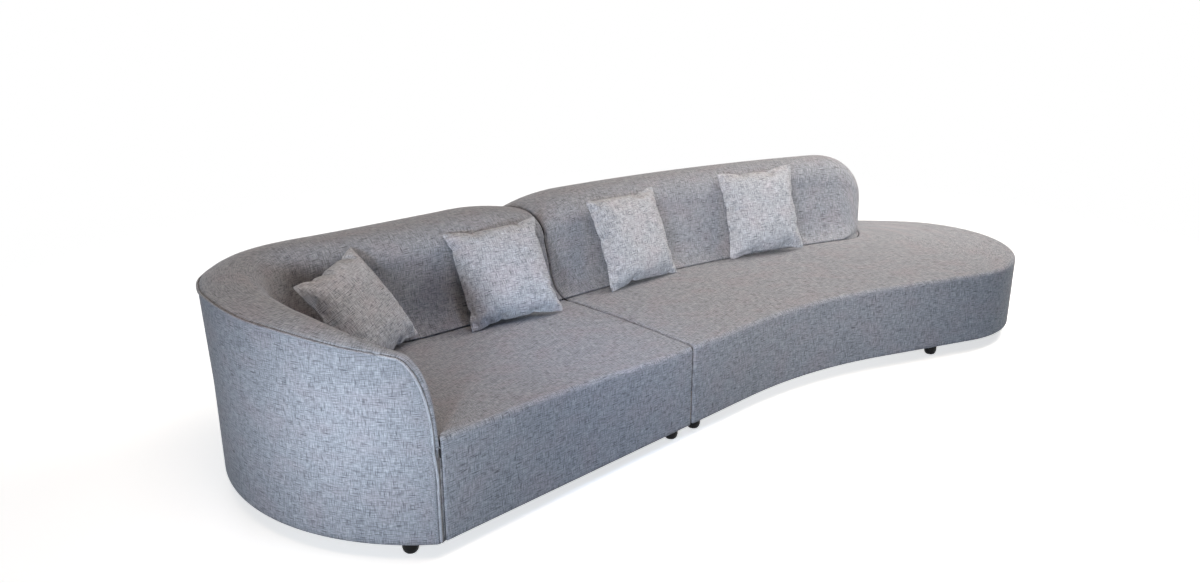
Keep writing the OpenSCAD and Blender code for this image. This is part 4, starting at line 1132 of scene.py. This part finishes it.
def rays_that_see(tree):
    """1 for rays from the camera, from a gloss or through glass, 0 for light that bounces."""
    path = add(tree, "ShaderNodeLightPath", out=None).outputs
    seen = add(tree, "ShaderNodeMath", {0: path["Is Camera Ray"], 1: path["Is Glossy Ray"]}, operation="MAXIMUM")
    return add(tree, "ShaderNodeMath", {0: seen, 1: path["Is Transmission Ray"]}, operation="MAXIMUM")


def stage_floor():
    """A pale floor that fades out into the white surround, and throws light back like a grey one."""
    material, tree = new_material("pale_floor")
    place = add(tree, "ShaderNodeTexCoord", out="Object")
    far = add(tree, "ShaderNodeVectorMath", {0: place}, out="Value", operation="LENGTH")
    fade = add(tree, "ShaderNodeMapRange", {"Value": far}, From_Min=FADE_FROM, From_Max=FADE_TO,
               interpolation_type="SMOOTHSTEP")
    matt = add(tree, "ShaderNodeBsdfPrincipled", Base_Color=colour("#F6F6F6"), Roughness=0.9,
               Emission_Color=colour("#FFFFFF"), Emission_Strength=FLOOR_GLOW)
    dull = add(tree, "ShaderNodeBsdfPrincipled", Base_Color=colour("#8C8883"), Roughness=0.9)
    either = add(tree, "ShaderNodeMixShader", {0: rays_that_see(tree), 1: dull, 2: matt})
    clear = add(tree, "ShaderNodeBsdfTransparent")
    mixed = add(tree, "ShaderNodeMixShader", {0: fade, 1: either, 2: clear})
    add(tree, "ShaderNodeOutputMaterial", {"Surface": mixed}, out=None)
    corners = FLOOR_HALF * np.array([[-1, -1, 0], [1, -1, 0], [1, 1, 0], [-1, 1, 0]])
    mesh_from("floor", corners, [[0, 1, 2, 3]], corners[:, :2], material)


stage_floor()
print("floor of", 2 * FLOOR_HALF, "m")

# %% [markdown]
# The room lights the sofa with a cool window at the left and warm lamps high up. One big lamp would
# get the shadows right, but not the tones. So broad lamps stand for window and ceiling, a weak cool
# fill lies in front and one behind, and four soft spots lift the places that the photograph shows
# brighter. Their strengths were fitted to the mean tones of the photograph's regions.

# %% Lamps
SPOT_RADIUS = 0.35


def lamp(kind, name, place, target, size, power, tint):
    """A lamp that looks at a point: an area lamp of that size in metres, or a spot with a soft
    edge and a cone of that many degrees."""
    data = bpy.data.lights.new(name, kind)
    data.energy, data.color = power, tint
    if kind == "AREA":
        data.shape, data.size = "SQUARE", size
    else:
        data.spot_size, data.spot_blend, data.shadow_soft_size = math.radians(size), 1.0, SPOT_RADIUS
    piece = bpy.data.objects.new(name, data)
    piece.location = place
    way = np.array(target) - np.array(place)
    piece.rotation_euler = (math.atan2(math.hypot(way[0], way[1]), -way[2]), 0,
                            math.atan2(way[1], way[0]) - math.pi / 2)
    bpy.context.scene.collection.objects.link(piece)


LAMPS = [
    ("AREA", "window_left", (-7.2, -4.2, 1.3), (-0.6, 0, 0.5), 2.2, 280, (0.71, 0.84, 1.0)),
    ("AREA", "ceiling_right", (3.2, -0.8, 3.4), (1.6, 0, 0.4), 2.0, 138, (1.0, 0.95, 0.87)),
    ("AREA", "ceiling", (-1.6, -1.0, 4.2), (0, 0, 0.4), 2.5, 58, (1.0, 0.84, 0.70)),
    ("AREA", "sky_fill", (1.0, -5.0, 0.7), (0, -0.4, 0.3), 1.6, 24, (0.1, 0.55, 1.0)),
    ("AREA", "rear_fill", (0.6, 6.5, 1.1), (0, 0, 0.4), 2.5, 150, (0.95, 0.97, 1.0)),
    ("SPOT", "window_glow", (-4.4, -2.6, 1.0), (-1.78, -0.22, 0.50), 18, 680, (0.81, 0.92, 1.0)),
    ("SPOT", "back_glow", (-3.9, -3.7, 2.4), (1.1, 0.3, 0.6), 24, 836, (1.0, 0.99, 0.95)),
    ("SPOT", "seat_glow", (-0.9, -1.9, 2.8), (-0.74, -0.26, 0.4), 26, 170, (0.56, 0.72, 1.0)),
    ("SPOT", "round_glow", (1.6, -3.6, 2.6), (1.75, 0.1, 0.6), 18, 366, (1.0, 0.94, 0.82)),
]
for row in LAMPS:
    lamp(*row)
    print(row[1], row[5], "W")

# %% [markdown]
# The surround is the photograph's white. As a plain background it would also flood the sofa with
# light, so only rays that see it find white, and all others find a weak warm glow.

# %% Surround
world = bpy.data.worlds.new("surround")
bpy.context.scene.world = world
world.use_nodes = True
sky = world.node_tree
sky.nodes.clear()
direct = add(sky, "ShaderNodeBackground", Color=(1, 1, 1, 1), Strength=1.0)
ambient = add(sky, "ShaderNodeBackground", Color=(1.0, 0.93, 0.88, 1), Strength=0.06)
either = add(sky, "ShaderNodeMixShader", {0: rays_that_see(sky), 1: ambient, 2: direct})
add(sky, "ShaderNodeOutputWorld", {"Surface": either}, out=None)
bpy.context.scene.view_settings.view_transform = "Standard"
print("surround with", len(bpy.data.lights), "lamps")
